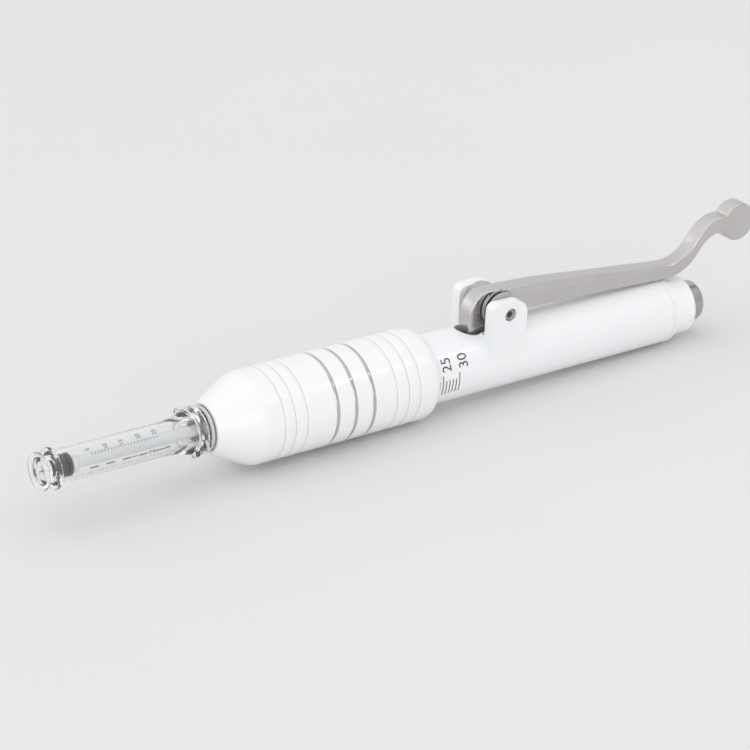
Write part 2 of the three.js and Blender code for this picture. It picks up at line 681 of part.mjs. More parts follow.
function ampouleBarrel() {
  const neckX = NOZZLE_X + NOZZLE_DISC_THICKNESS;
  const flangeX = neckX + NOZZLE_NECK_LENGTH;
  const flare = new THREE.QuadraticBezierCurve(
    new THREE.Vector2(RING_FRONT_X - FLARE_LENGTH, AMPOULE_R),
    new THREE.Vector2(RING_FRONT_X - FLARE_LENGTH / 2, AMPOULE_R + FLARE_SAG),
    new THREE.Vector2(RING_FRONT_X, GRIP_RING_R - FLARE_STEP),
  );
  const body = turned([
    [NOZZLE_X, ORIFICE_R],
    [NOZZLE_X, NOZZLE_DISC_R - EDGE],
    [NOZZLE_X + EDGE, NOZZLE_DISC_R],
    [neckX, NOZZLE_DISC_R],
    [neckX, NOZZLE_NECK_R],
    [flangeX, NOZZLE_NECK_R],
    [flangeX, FRONT_FLANGE_R],
    [BARREL_FRONT_X, FRONT_FLANGE_R],
    [BARREL_FRONT_X, AMPOULE_R],
    ...flare.getPoints(4).map((p) => [p.x, p.y]),
    [RING_FRONT_X, GRIP_RING_R],
    [STUB_X, GRIP_RING_R],
    [STUB_X, STUB_R],
    [STUB_X + STUB_LENGTH, STUB_R],
    [STUB_X + STUB_LENGTH, AMPOULE_BORE_R],
    [NOZZLE_X + ORIFICE_LENGTH + FRONT_BORE_LENGTH, AMPOULE_BORE_R],
    [NOZZLE_X + ORIFICE_LENGTH + FRONT_BORE_LENGTH, FRONT_BORE_R],
    [NOZZLE_X + ORIFICE_LENGTH, FRONT_BORE_R],
    [NOZZLE_X + ORIFICE_LENGTH, ORIFICE_R],
    [NOZZLE_X, ORIFICE_R],
  ], FINE_SIDES);
  return body.add(gripLobes(RING_FRONT_X, GRIP_RING_THICKNESS, GRIP_RING_R - LOBE_INSET, RING_LOBE_ANGLE));
}

function ampouleAdapter() {
  const hole = ring(ADAPTER_X - OVERCUT, ADAPTER_THICKNESS + 2 * OVERCUT, STUB_R + CLEARANCE, 0);
  return ring(ADAPTER_X, ADAPTER_THICKNESS, ADAPTER_R, 0, EDGE)
    .add(gripLobes(ADAPTER_X, ADAPTER_THICKNESS, ADAPTER_R - LOBE_INSET, ADAPTER_LOBE_ANGLE))
    .subtract(hole);
}

function holderORing() {
  const x = COLLAR_FRONT_X - CLEARANCE - O_RING_WIRE_R;
  const section = new THREE.Path().absarc(x, O_RING_R + O_RING_WIRE_R, O_RING_WIRE_R, 0, 2 * Math.PI);
  return turned(section.getPoints(4).map((p) => [p.x, p.y]));
}

// ---------------------------------------------------------------- plunger

function plungerSeal() {
  const ribFront = SEAL_X + SEAL_LENGTH - SEAL_RIB_LENGTH;
  const ribR = AMPOULE_BORE_R - CLEARANCE;
  const grooveR = ribR - SEAL_GROOVE_DEPTH;
  const third = SEAL_RIB_LENGTH / 3;
  return turned([
    [SEAL_X, 0],
    [SEAL_X, SEAL_NOSE_R - SEAL_CHAMFER],
    [SEAL_X + SEAL_CHAMFER, SEAL_NOSE_R],
    [ribFront + CLEARANCE, SEAL_NOSE_R],
    [ribFront + CLEARANCE, ribR],
    [ribFront + third, ribR],
    [ribFront + third, grooveR],
    [ribFront + 2 * third, grooveR],
    [ribFront + 2 * third, ribR],
    [SEAL_X + SEAL_LENGTH, ribR],
    [SEAL_X + SEAL_LENGTH, 0],
  ]);
}

function plungerRod() {
  const rear = RAM_NOSE_X + ROD_IN_RAM;
  return turned([
    [ROD_X, 0],
    [ROD_X, ROD_HEAD_R],
    [ROD_X + ROD_HEAD_LENGTH, ROD_HEAD_R],
    [ROD_X + ROD_HEAD_LENGTH + ROD_HEAD_TAPER, ROD_R],
    [rear - EDGE, ROD_R],
    [rear, ROD_R - EDGE],
    [rear, 0],
  ]);
}

// ---------------------------------------------------------------- ram

// The milled notch takes the lever's foot. Its rear wall is upright as high as the foot bears
// on it and leans back above, and its front wall slopes out of the way of the lifted finger.
function ramNotch() {
  const wallX = FOOT_X + FOOT_R + NOTCH_WALL_GAP;
  const floorZ = -NOTCH_FLOOR_DEPTH;
  const leanZ = FOOT_Z + NOTCH_LEAN_RISE;
  const openZ = PISTON_R + OVERCUT;
  const floorFront = wallX - NOTCH_FLOOR_LENGTH;
  const side = new THREE.Shape();
  side.moveTo(floorFront, floorZ);
  side.lineTo(wallX, floorZ);
  side.lineTo(wallX, leanZ);
  side.lineTo(wallX + openZ - leanZ, openZ);
  side.lineTo(floorFront - openZ + floorZ, openZ);
  side.lineTo(floorFront, floorZ);
  return across(side, LEVER_THICKNESS + 2 * NOTCH_SIDE_CLEARANCE);
}

function ram() {
  const gripFront = RAM_NOSE_X + ROD_GRIP_SETBACK - CLEARANCE;
  const gripRear = gripFront + ROD_GRIP_THICKNESS + 2 * CLEARANCE;
  const gripR = RAM_BORE_R + GRIP_GROOVE_DEPTH;
  const boreEnd = RAM_NOSE_X + RAM_BORE_DEPTH;
  const body = turned([
    [RAM_NOSE_X, RAM_BORE_R],
    [RAM_NOSE_X, RAM_NOSE_R - EDGE],
    [RAM_NOSE_X + EDGE, RAM_NOSE_R],
    [PISTON_X, RAM_NOSE_R],
    [PISTON_X, PISTON_R],
    [PISTON_REAR_X, PISTON_R],
    [PISTON_REAR_X, TAIL_R],
    [HEAD_X - NECK_LENGTH, TAIL_R],
    [HEAD_X - NECK_LENGTH + NECK_CHAMFER, NECK_R],
    [HEAD_X, NECK_R],
    [HEAD_X, HEAD_R],
    [HEAD_X + HEAD_RIM_LENGTH, HEAD_R],
    [HEAD_X + HEAD_LENGTH, HEAD_R / 2],
    [HEAD_X + HEAD_LENGTH, 0],
    [boreEnd, 0],
    [boreEnd, RAM_BORE_R],
    [gripRear, RAM_BORE_R],
    [gripRear, gripR],
    [gripFront, gripR],
    [gripFront, RAM_BORE_R],
    [RAM_NOSE_X, RAM_BORE_R],
  ]);
  return body.subtract(ramNotch());
}

function ramGripRing() {
  const outer = RAM_BORE_R + GRIP_GROOVE_DEPTH - CLEARANCE;
  return ring(RAM_NOSE_X + ROD_GRIP_SETBACK, ROD_GRIP_THICKNESS, outer, ROD_R + CLEARANCE);
}

function ramGuide() {
  return ring(GUIDE_X, GUIDE_LENGTH, FIXED_FIT_R, RAM_NOSE_R + CLEARANCE, EDGE);
}

function frontBuffer() {
  return ring(BUFFER_X, BUFFER_LENGTH, FIXED_FIT_R, RAM_NOSE_R + CLEARANCE, EDGE);
}

function mainSpring() {
  const front = PISTON_REAR_X + CLEARANCE + MAIN_WIRE_R;
  const rear = HOUSING_X - CLEARANCE - MAIN_WIRE_R;
  const wire = coil(MAIN_COIL_R, rear - front, MAIN_TURNS, MAIN_WIRE_R);
  wire.translate(front, 0, 0);
  return solid(wire);
}

// ---------------------------------------------------------------- sear

function searHousing() {
  const body = ring(HOUSING_X, HOUSING_LENGTH - CLEARANCE, FIXED_FIT_R, HOUSING_BORE_R, EDGE);
  const slotHalf = PLATE_HALF_WIDTH + CLEARANCE;
  const slot = block(
    PLATE_X - CLEARANCE, PLATE_REAR_X + CLEARANCE,
    -slotHalf, slotHalf,
    -PLATE_BOTTOM - CLEARANCE, BORE_R + OVERCUT,
  );
  const grooveHalf = PRONG_HALF_WIDTH + CLEARANCE;
  const grooveFront = PLATE_REAR_X - TRIGGER_TRAVEL - 2 * CLEARANCE;
  const grooveTop = -(PLATE_BOTTOM + CLEARANCE - SEAR_TRAVEL) + CLEARANCE;
  const prongGroove = block(
    grooveFront, HOUSING_REAR_X + OVERCUT,
    -grooveHalf, grooveHalf,
    -BORE_R - OVERCUT, grooveTop,
  );
  return body.subtract(slot).subtract(prongGroove);
}

// The hole is lengthened downwards by the sear's travel, so the ram's head passes the plate
// in both of its positions.
function searPlate() {
  const outline = new THREE.Shape();
  outline.moveTo(-PLATE_HALF_WIDTH, -PLATE_BOTTOM);
  outline.lineTo(PLATE_HALF_WIDTH, -PLATE_BOTTOM);
  outline.lineTo(PLATE_HALF_WIDTH, PLATE_TOP - EDGE);
  outline.lineTo(PLATE_HALF_WIDTH - EDGE, PLATE_TOP);
  outline.lineTo(-PLATE_HALF_WIDTH + EDGE, PLATE_TOP);
  outline.lineTo(-PLATE_HALF_WIDTH, PLATE_TOP - EDGE);
  outline.lineTo(-PLATE_HALF_WIDTH, -PLATE_BOTTOM);
  const hole = new THREE.Shape();
  hole.absarc(0, 0, PLATE_HOLE_R, 0, Math.PI);
  hole.absarc(0, -SEAR_TRAVEL, PLATE_HOLE_R, Math.PI, 2 * Math.PI);
  const through = along(hole, PLATE_X - OVERCUT, PLATE_THICKNESS + 2 * OVERCUT);
  return along(outline, PLATE_X, PLATE_THICKNESS).subtract(through);
}

function searSpring() {
  const bottom = PLATE_TOP + CLEARANCE + SEAR_SPRING_WIRE_R;
  const top = BORE_R - CLEARANCE - SEAR_SPRING_WIRE_R;
  const wire = coil(SEAR_SPRING_R, top - bottom, SEAR_SPRING_TURNS, SEAR_SPRING_WIRE_R, 10);
  wire.rotateY(-Math.PI / 2);
  wire.translate(PLATE_X + PLATE_THICKNESS / 2, 0, bottom);
  return solid(wire);
}

// ---------------------------------------------------------------- cap, button and stem

function endCap() {
  const seatR = SEAT_R - CLEARANCE;
  const rim = new THREE.Path();
  rim.absarc(CAP_REAR_X - CAP_EDGE_R, CAP_R - CAP_EDGE_R, CAP_EDGE_R, Math.PI / 2, 0, true);
  const lipX = CAP_REAR_X - CAP_LIP;
  const mouthR = BUTTON_R + CLEARANCE;
  return turned([
    [HOUSING_REAR_X + CLEARANCE, CAP_INNER_R],
    [HOUSING_REAR_X + CLEARANCE, seatR],
    [CAP_X, seatR],
    [CAP_X, CAP_R - EDGE],
    [CAP_X + EDGE, CAP_R],
    ...rim.getPoints(4).map((p) => [p.x, p.y]),
    [CAP_REAR_X, mouthR],
    [lipX, mouthR],
    [lipX, CAP_INNER_R],
    [HOUSING_REAR_X + CLEARANCE, CAP_INNER_R],
  ]);
}

function triggerButton() {
  const flangeRear = BUTTON_X + BUTTON_FLANGE_THICKNESS;
  const rear = CAP_REAR_X + BUTTON_PROUD;
  const socketR = STEM_SHANK_R + CLEARANCE;
  const socketEnd = BUTTON_X + STEM_SHANK_LENGTH + CLEARANCE;
  const rim = new THREE.Path();
  rim.absarc(rear - BUTTON_RIM_R, BUTTON_R - BUTTON_RIM_R, BUTTON_RIM_R, Math.PI / 2, 0, true);
  return turned([
    [BUTTON_X, socketR],
    [BUTTON_X, BUTTON_FLANGE_R],
    [flangeRear, BUTTON_FLANGE_R],
    [flangeRear, BUTTON_R],
    ...rim.getPoints(6).map((p) => [p.x, p.y]),
    [rear, 0],
    [socketEnd, 0],
    [socketEnd, socketR],
    [BUTTON_X, socketR],
  ]);
}

// The stem carries a prong whose sloping end lifts the sear plate as the button goes in.
function triggerStem() {
  const discRear = STEM_X + STEM_DISC_THICKNESS;
  const shank = turned([
    [STEM_X, 0],
    [STEM_X, STEM_DISC_R],
    [discRear, STEM_DISC_R],
    [discRear, STEM_SHANK_R],
    [discRear + STEM_SHANK_LENGTH, STEM_SHANK_R],
    [discRear + STEM_SHANK_LENGTH, 0],
  ]);
  const touchZ = -PLATE_BOTTOM - CLEARANCE;
  const tipX = PLATE_REAR_X - CLEARANCE;
  const prong = new THREE.Shape();
  prong.moveTo(tipX, -PRONG_BOTTOM);
  prong.lineTo(tipX, touchZ - CLEARANCE * SEAR_RATIO);
  prong.lineTo(PLATE_REAR_X + TRIGGER_TRAVEL, touchZ + SEAR_TRAVEL);
  prong.lineTo(STEM_X, touchZ + SEAR_TRAVEL);
  prong.lineTo(STEM_X, -PRONG_ROOT);
  prong.lineTo(discRear, -PRONG_ROOT);
  prong.lineTo(discRear, -PRONG_BOTTOM);
  prong.lineTo(tipX, -PRONG_BOTTOM);
  return shank.add(across(prong, 2 * PRONG_HALF_WIDTH));
}

function buttonSpring() {
  const front = HOUSING_REAR_X + CLEARANCE + BUTTON_SPRING_WIRE_R;
  const rear = STEM_X - CLEARANCE - BUTTON_SPRING_WIRE_R;
  const wire = coil(BUTTON_SPRING_R, rear - front, BUTTON_SPRING_TURNS, BUTTON_SPRING_WIRE_R);
  wire.translate(front, 0, 0);
  return solid(wire);
}

// ---------------------------------------------------------------- assembly

const PIECES = [
  ['main_tube', mainTube, WHITE_PAINT],
  ['pivot_pin', pivotPin, POLISHED_STEEL],
  ['torsion_spring', torsionSpring, SPRING_STEEL],
  ['side_washer', sideWasher, WHITE_PLASTIC],
  ['spacer_bush', spacerBush, WHITE_PLASTIC],
  ['key_screw', keyScrew, SPRING_STEEL],
  ['ram_guide', ramGuide, BRASS],
  ['front_buffer', frontBuffer, BLACK_RUBBER],
  ['sear_housing', searHousing, GREY_PLASTIC],
  ['end_cap', endCap, WHITE_PAINT],
  ['main_spring', mainSpring, SPRING_STEEL],
  ['sear_spring', searSpring, SPRING_STEEL],
  ['button_spring', buttonSpring, SPRING_STEEL],
  ['cocking_lever', cockingLever, BRUSHED_STEEL],
  ['dose_collar', doseCollar, WHITE_PAINT],
  ['retaining_ring', retainingRing, SPRING_STEEL],
  ['ampoule_holder', ampouleHolder, GREY_PLASTIC],
  ['ampoule_barrel', ampouleBarrel, CLEAR_PLASTIC],
  ['ampoule_adapter', ampouleAdapter, CLEAR_PLASTIC],
  ['holder_o_ring', holderORing, BLACK_RUBBER],
  ['plunger_seal', plungerSeal, BLACK_RUBBER],
  ['plunger_rod', plungerRod, WHITE_PLASTIC],
  ['ram', ram, POLISHED_STEEL],
  ['ram_grip_ring', ramGripRing, BRASS],
  ['sear_plate', searPlate, POLISHED_STEEL],
  ['trigger_button', triggerButton, POLISHED_STEEL],
  ['trigger_stem', triggerStem, GREY_PLASTIC],
];

const pen = new THREE.Group();
for (const [name, build, material] of PIECES) {
  pen.add(meshOf(name, build(), material));
}
pen.position.set(-(NOZZLE_X + LEVER_TAIL_X) / 2, 0, COLLAR_R);

const part = new THREE.Group();
part.add(pen);

export default part;
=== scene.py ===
import math

import bmesh
import bpy
from mathutils import Matrix, Vector

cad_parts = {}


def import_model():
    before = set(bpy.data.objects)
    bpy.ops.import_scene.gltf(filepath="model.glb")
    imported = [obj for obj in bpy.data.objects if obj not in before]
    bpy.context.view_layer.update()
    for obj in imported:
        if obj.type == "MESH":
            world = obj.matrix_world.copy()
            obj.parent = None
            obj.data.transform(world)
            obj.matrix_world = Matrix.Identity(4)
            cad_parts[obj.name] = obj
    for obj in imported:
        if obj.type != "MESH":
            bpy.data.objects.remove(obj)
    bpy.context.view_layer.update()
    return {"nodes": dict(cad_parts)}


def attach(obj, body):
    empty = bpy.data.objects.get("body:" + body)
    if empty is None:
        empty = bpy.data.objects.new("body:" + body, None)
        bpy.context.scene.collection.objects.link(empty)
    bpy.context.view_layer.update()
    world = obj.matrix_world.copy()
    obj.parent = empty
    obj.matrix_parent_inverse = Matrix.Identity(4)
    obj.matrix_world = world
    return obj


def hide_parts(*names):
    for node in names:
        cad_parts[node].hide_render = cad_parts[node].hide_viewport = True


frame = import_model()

# Injector pen with a hinged loading lever. Shapes are written in the pen's own frame, in
# millimetres with X along the tube's axis, and are placed in the shared frame at the end.
MM = 0.001
AXIS_BACK, AXIS_HEIGHT = 0.04735, 0.013
PEN_TO_ROW = Matrix.Translation((-AXIS_BACK, 0, AXIS_HEIGHT)) @ Matrix.Scale(MM, 4)
NODES = frame["nodes"]

TUBE_FRONT, TUBE_REAR = 8.0, 134.0
TUBE_R, BORE_R, SEAT_R = 9.8, 7.6, 8.6
COLLAR_FRONT, COLLAR_REAR, COLLAR_R = -21.0, 48.6, 13.0
COLLAR_BORE_R = 10.15
PIVOT_X, PIVOT_Z = 72.5, 15.4
EAR_FACE, EAR_GAP = 9.5, 12.1
EAR_TOP = 19.2
PIN_R = 1.6
LEVER_HALF = 2.6
SCALE_ZERO, DIVISION, LAST_READING = 22.75, 1.1, 30
NOZZLE = -71.5
GRIP_RING = -27.0


# ---------------------------------------------------------------- node groups

def group(name, inputs, outputs):
    """A shader node group with named sockets; returns it with its input and output nodes."""
    tree = bpy.data.node_groups.new(name, "ShaderNodeTree")
    for label, kind, value in inputs:
        socket = tree.interface.new_socket(label, in_out="INPUT", socket_type=kind)
        socket.default_value = value
    for label, kind in outputs:
        tree.interface.new_socket(label, in_out="OUTPUT", socket_type=kind)
    return tree, tree.nodes.new("NodeGroupInput"), tree.nodes.new("NodeGroupOutput")


def noise(tree, vector, scale, detail=2.0):
    node = tree.nodes.new("ShaderNodeTexNoise")
    node.inputs["Detail"].default_value = detail
    tree.links.new(vector, node.inputs["Vector"])
    if isinstance(scale, float):
        node.inputs["Scale"].default_value = scale
    else:
        tree.links.new(scale, node.inputs["Scale"])
    return node.outputs["Fac"]


def math_node(tree, kind, a, b):
    node = tree.nodes.new("ShaderNodeMath")
    node.operation = kind
    for socket, value in zip(node.inputs, (a, b)):
        if isinstance(value, float):
            socket.default_value = value
        else:
            tree.links.new(value, socket)
    return node.outputs[0]


def spread_about(tree, centre, amount, value):
    """centre + amount x (value - 0.5)."""
    offset = math_node(tree, "SUBTRACT", value, 0.5)
    return math_node(tree, "ADD", centre, math_node(tree, "MULTIPLY", offset, amount))


def mix_color(tree, fac, a, b):
    node = tree.nodes.new("ShaderNodeMix")
    node.data_type = "RGBA"
    tree.links.new(fac, node.inputs["Factor"])
    for socket, value in ((node.inputs["A"], a), (node.inputs["B"], b)):
        tree.links.new(value, socket)
    return node.outputs["Result"]


def skin_group():
    """Moulded, sprayed or cast surfaces: slow colour drift, patchy gloss, fine relief."""
    tree, given, result = group(
        "surface skin",
        [("Color", "NodeSocketColor", (0.8, 0.8, 0.8, 1)),
         ("Drift Color", "NodeSocketColor", (0.7, 0.7, 0.7, 1)),
         ("Drift Scale", "NodeSocketFloat", 60.0), ("Roughness", "NodeSocketFloat", 0.4),
         ("Roughness Spread", "NodeSocketFloat", 0.1), ("Relief Scale", "NodeSocketFloat", 3000.0)],
        [("Color", "NodeSocketColor"), ("Roughness", "NodeSocketFloat"), ("Height", "NodeSocketFloat")],
    )
    place = tree.nodes.new("ShaderNodeTexCoord").outputs["Object"]
    drift = noise(tree, place, given.outputs["Drift Scale"], 3.0)
    tint = mix_color(tree, drift, given.outputs["Color"], given.outputs["Drift Color"])
    tree.links.new(tint, result.inputs["Color"])
    patches = noise(tree, place, 420.0, 4.0)
    rough = spread_about(tree, given.outputs["Roughness"], given.outputs["Roughness Spread"], patches)
    tree.links.new(rough, result.inputs["Roughness"])
    tree.links.new(noise(tree, place, given.outputs["Relief Scale"], 2.0), result.inputs["Height"])
    return tree


def brushed_group():
    """Metal with straight grain: Grain is how often it changes along X, Y and Z."""
    tree, given, result = group(
        "straight grain",
        [("Color", "NodeSocketColor", (0.6, 0.58, 0.55, 1)),
         ("Grain Color", "NodeSocketColor", (0.5, 0.48, 0.46, 1)),
         ("Grain", "NodeSocketVector", (300.0, 6000.0, 6000.0)), ("Roughness", "NodeSocketFloat", 0.3),
         ("Roughness Spread", "NodeSocketFloat", 0.2)],
        [("Color", "NodeSocketColor"), ("Roughness", "NodeSocketFloat"), ("Height", "NodeSocketFloat")],
    )
    place = tree.nodes.new("ShaderNodeTexCoord").outputs["Object"]
    stretch = tree.nodes.new("ShaderNodeVectorMath")
    stretch.operation = "MULTIPLY"
    tree.links.new(place, stretch.inputs[0])
    tree.links.new(given.outputs["Grain"], stretch.inputs[1])
    streaks = noise(tree, stretch.outputs["Vector"], 1.0, 3.0)
    clouds = noise(tree, place, 130.0, 4.0)
    both = math_node(tree, "MULTIPLY", math_node(tree, "ADD", streaks, clouds), 0.5)
    tint = mix_color(tree, both, given.outputs["Color"], given.outputs["Grain Color"])
    tree.links.new(tint, result.inputs["Color"])
    rough = spread_about(tree, given.outputs["Roughness"], given.outputs["Roughness Spread"], both)
    tree.links.new(rough, result.inputs["Roughness"])
    tree.links.new(streaks, result.inputs["Height"])
    return tree


def turning_group():
    """Tool marks round the pen's axis, for turned steel and bright rings."""
    tree, given, result = group(
        "turning marks",
        [("Color", "NodeSocketColor", (0.7, 0.7, 0.7, 1)),
         ("Mark Color", "NodeSocketColor", (0.5, 0.5, 0.5, 1)),
         ("Marks", "NodeSocketFloat", 9000.0), ("Roughness", "NodeSocketFloat", 0.15),
         ("Roughness Spread", "NodeSocketFloat", 0.1)],
        [("Color", "NodeSocketColor"), ("Roughness", "NodeSocketFloat"), ("Height", "NodeSocketFloat")],
    )
    place = tree.nodes.new("ShaderNodeTexCoord").outputs["Object"]
    centred = tree.nodes.new("ShaderNodeVectorMath")
    centred.operation = "SUBTRACT"
    centred.inputs[1].default_value = (0.0, 0.0, AXIS_HEIGHT)
    tree.links.new(place, centred.inputs[0])
    parts = tree.nodes.new("ShaderNodeSeparateXYZ")
    tree.links.new(centred.outputs["Vector"], parts.inputs[0])
    radial = tree.nodes.new("ShaderNodeCombineXYZ")
    tree.links.new(parts.outputs["Y"], radial.inputs["Y"])
    tree.links.new(parts.outputs["Z"], radial.inputs["Z"])
    length = tree.nodes.new("ShaderNodeVectorMath")
    length.operation = "LENGTH"
    tree.links.new(radial.outputs["Vector"], length.inputs[0])
    rings = tree.nodes.new("ShaderNodeCombineXYZ")
    tree.links.new(parts.outputs["X"], rings.inputs["X"])
    tree.links.new(length.outputs["Value"], rings.inputs["Y"])
    marks = noise(tree, rings.outputs["Vector"], given.outputs["Marks"], 3.0)
    tint = mix_color(tree, marks, given.outputs["Color"], given.outputs["Mark Color"])
    tree.links.new(tint, result.inputs["Color"])
    rough = spread_about(tree, given.outputs["Roughness"], given.outputs["Roughness Spread"], marks)
    tree.links.new(rough, result.inputs["Roughness"])
    tree.links.new(marks, result.inputs["Height"])
    return tree


SKIN = skin_group()
STRAIGHT_GRAIN = brushed_group()
TURNING_MARKS = turning_group()


def material(name, effect, values, relief, metallic=0.0, **sockets):
    """A Principled material fed by one of the groups; relief is its bump height in metres."""
    made = bpy.data.materials.new(name)
    made.use_nodes = True
    tree = made.node_tree
    shader = tree.nodes["Principled BSDF"]
    marks = tree.nodes.new("ShaderNodeGroup")
    marks.node_tree = effect
    for label, value in values.items():
        marks.inputs[label].default_value = value
    tree.links.new(marks.outputs["Color"], shader.inputs["Base Color"])
    tree.links.new(marks.outputs["Roughness"], shader.inputs["Roughness"])
    bump = tree.nodes.new("ShaderNodeBump")
    bump.inputs["Strength"].default_value = 1.0
    bump.inputs["Distance"].default_value = relief
    tree.links.new(marks.outputs["Height"], bump.inputs["Height"])
    tree.links.new(bump.outputs["Normal"], shader.inputs["Normal"])
    shader.inputs["Metallic"].default_value = metallic
    for label, value in sockets.items():
        shader.inputs[label.replace("_", " ")].default_value = value
    return made


def shade(r, g, b):
    return (r, g, b, 1.0)


def skin(name, color, drift, roughness, spread=0.08, relief=2e-7, drift_scale=60.0, relief_scale=2600.0,
         **sockets):
    values = {"Color": color, "Drift Color": drift, "Drift Scale": drift_scale, "Roughness": roughness,
              "Roughness Spread": spread, "Relief Scale": relief_scale}
    return material(name, SKIN, values, relief, **sockets)


def grained(name, color, grain_color, grain, roughness, spread, relief):
    values = {"Color": color, "Grain Color": grain_color, "Grain": grain, "Roughness": roughness,
              "Roughness Spread": spread}
    return material(name, STRAIGHT_GRAIN, values, relief, metallic=1.0)


def lathed(name, color, mark_color, roughness, spread=0.1, relief=3e-7, marks=9000.0):
    values = {"Color": color, "Mark Color": mark_color, "Marks": marks, "Roughness": roughness,
              "Roughness Spread": spread}
    return material(name, TURNING_MARKS, values, relief, metallic=1.0)


COLLAR_ENAMEL = skin("collar enamel", shade(0.875, 0.89, 0.897), shade(0.895, 0.902, 0.908), 0.34, 0.07,
                     Coat_Weight=0.25, Coat_Roughness=0.12)
TUBE_ENAMEL = skin("tube enamel", shade(0.86, 0.877, 0.887), shade(0.88, 0.89, 0.897), 0.38, 0.07,
                   Coat_Weight=0.2, Coat_Roughness=0.15)
CAP_ENAMEL = skin("cap enamel", shade(0.915, 0.925, 0.93), shade(0.93, 0.935, 0.94), 0.33, 0.07,
                  Coat_Weight=0.25, Coat_Roughness=0.12)
# Painted shade: a grey for the bottoms of the collar's fine turned lines, standing in for the shade that
# falls in them.
GROOVE_PAINTED_SHADE = skin("groove painted shade", shade(0.62, 0.63, 0.64), shade(0.68, 0.69, 0.7), 0.5)
LEVER_STEEL = grained("satin lever steel", shade(0.665, 0.648, 0.63), shade(0.53, 0.512, 0.495),
                      (260.0, 7000.0, 5200.0), 0.27, 0.16, 7e-7)
BAND_STEEL = lathed("bright band steel", shade(0.66, 0.65, 0.65), shade(0.5, 0.49, 0.49), 0.16)
BUTTON_STEEL = lathed("button steel", shade(0.53, 0.525, 0.515), shade(0.4, 0.395, 0.385), 0.2, 0.12)
PIN_STEEL = grained("pin steel", shade(0.5, 0.5, 0.5), shade(0.36, 0.36, 0.36), (3000.0, 900.0, 3000.0),
                    0.28, 0.2, 6e-7)
WIRE_STEEL = grained("spring wire", shade(0.46, 0.45, 0.44), shade(0.3, 0.3, 0.3), (2400.0, 2400.0, 2400.0),
                     0.26, 0.2, 5e-7)
RAM_STEEL = lathed("ram steel", shade(0.6, 0.6, 0.6), shade(0.45, 0.45, 0.45), 0.22)
BRASS = lathed("turned brass", shade(0.62, 0.42, 0.18), shade(0.5, 0.33, 0.14), 0.28)
SEAR_STEEL = grained("ground sear steel", shade(0.5, 0.5, 0.5), shade(0.38, 0.38, 0.38),
                     (5000.0, 400.0, 5000.0), 0.3, 0.2, 6e-7)
CLEAR = skin("clear ampoule plastic", shade(0.985, 0.99, 0.99), shade(0.965, 0.975, 0.98), 0.07, 0.05,
             relief=1e-7, Transmission_Weight=0.96, IOR=1.3)
ROD_PLASTIC = skin("white rod plastic", shade(0.92, 0.93, 0.93), shade(0.88, 0.89, 0.89), 0.3, 0.1)
WASHER_PLASTIC = skin("white washer plastic", shade(0.46, 0.46, 0.455), shade(0.38, 0.38, 0.375), 0.4, 0.14)
HOUSING_PLASTIC = skin("grey housing plastic", shade(0.42, 0.435, 0.44), shade(0.34, 0.35, 0.36), 0.42, 0.14)
SEAL_RUBBER = skin("seal rubber", shade(0.02, 0.02, 0.028), shade(0.04, 0.04, 0.05), 0.42, 0.14, relief=4e-7)
RING_RUBBER = skin("ring rubber", shade(0.6, 0.605, 0.61), shade(0.66, 0.66, 0.665), 0.3, 0.14)
PRINT = skin("scale print", shade(0.022, 0.022, 0.025), shade(0.045, 0.045, 0.05), 0.55, 0.1)
# Painted shade: a dark grey for the inside of the pin's end sockets, standing in for the shade in those steel
# recesses.
SOCKET_PAINTED_SHADE = skin("socket painted shade", shade(0.16, 0.16, 0.16), shade(0.22, 0.22, 0.22), 0.45)


# ---------------------------------------------------------------- making pieces

def settle(bm, name, finishes, sharp=32.0):
    """A placed object from a mesh in pen millimetres, smooth except at edges past sharp degrees."""
    bmesh.ops.transform(bm, matrix=PEN_TO_ROW, verts=bm.verts)
    mesh = bpy.data.meshes.new(name)
    bm.to_mesh(mesh)
    bm.free()
    made = bpy.data.objects.new(name, mesh)
    bpy.context.scene.collection.objects.link(made)
    for finish in finishes:
        mesh.materials.append(finish)
    mesh.polygons.foreach_set("use_smooth", [True] * len(mesh.polygons))
    mesh.set_sharp_from_angle(angle=math.radians(sharp))
    return made


def soften(piece, width, segments=2, angle=32.0):
    """Small rounded edges on a finished piece."""
    rounding = piece.modifiers.new("rounded edges", "BEVEL")
    rounding.width = width * MM
    rounding.segments = segments
    rounding.limit_method = "ANGLE"
    rounding.angle_limit = math.radians(angle)
    rounding.harden_normals = False
    return piece


def join_on(piece, body, slot, *nodes):
    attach(piece, body)
    if nodes:
        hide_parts(*nodes)
    return piece


def spin_profile(bm, profile, steps=128):
    """Turns a list of (station, radius) points about the pen's axis."""
    rim = [bm.verts.new((x, 0, r)) for x, r in profile]
    line = [bm.edges.new(pair) for pair in zip(rim, rim[1:])]
    bmesh.ops.spin(bm, geom=rim + line, cent=(0, 0, 0), axis=(1, 0, 0), angle=2 * math.pi, steps=steps,
                   use_merge=True)
    bmesh.ops.remove_doubles(bm, verts=bm.verts, dist=1e-4)
    bmesh.ops.recalc_face_normals(bm, faces=bm.faces)


def rounded(corners, radius=0.35, steps=3):
    """A closed profile with its listed outer corners rounded; a corner is (x, r, rounded or not)."""
    points = []
    count = len(corners)
    for i, (x, r, soft) in enumerate(corners):
        here = Vector((x, r))
        before = Vector(corners[i - 1][:2]) - here
        after = Vector(corners[(i + 1) % count][:2]) - here
        cut = min(radius, before.length * 0.45, after.length * 0.45)
        if not soft or cut < 1e-3:
            points.append((x, r))
            continue
        start = here + before.normalized() * cut
        end = here + after.normalized() * cut
        for k in range(steps + 1):
            t = k / steps
            p = start * (1 - t) ** 2 + here * 2 * t * (1 - t) + end * t ** 2
            points.append((p.x, p.y))
    return points + points[:1]


def arc(cx, cz, r, a0, a1, count):
    """Points on a circle between two angles in degrees."""
    steps = [a0 + (a1 - a0) * k / count for k in range(count + 1)]
    return [(cx + r * math.cos(math.radians(a)), cz + r * math.sin(math.radians(a))) for a in steps]


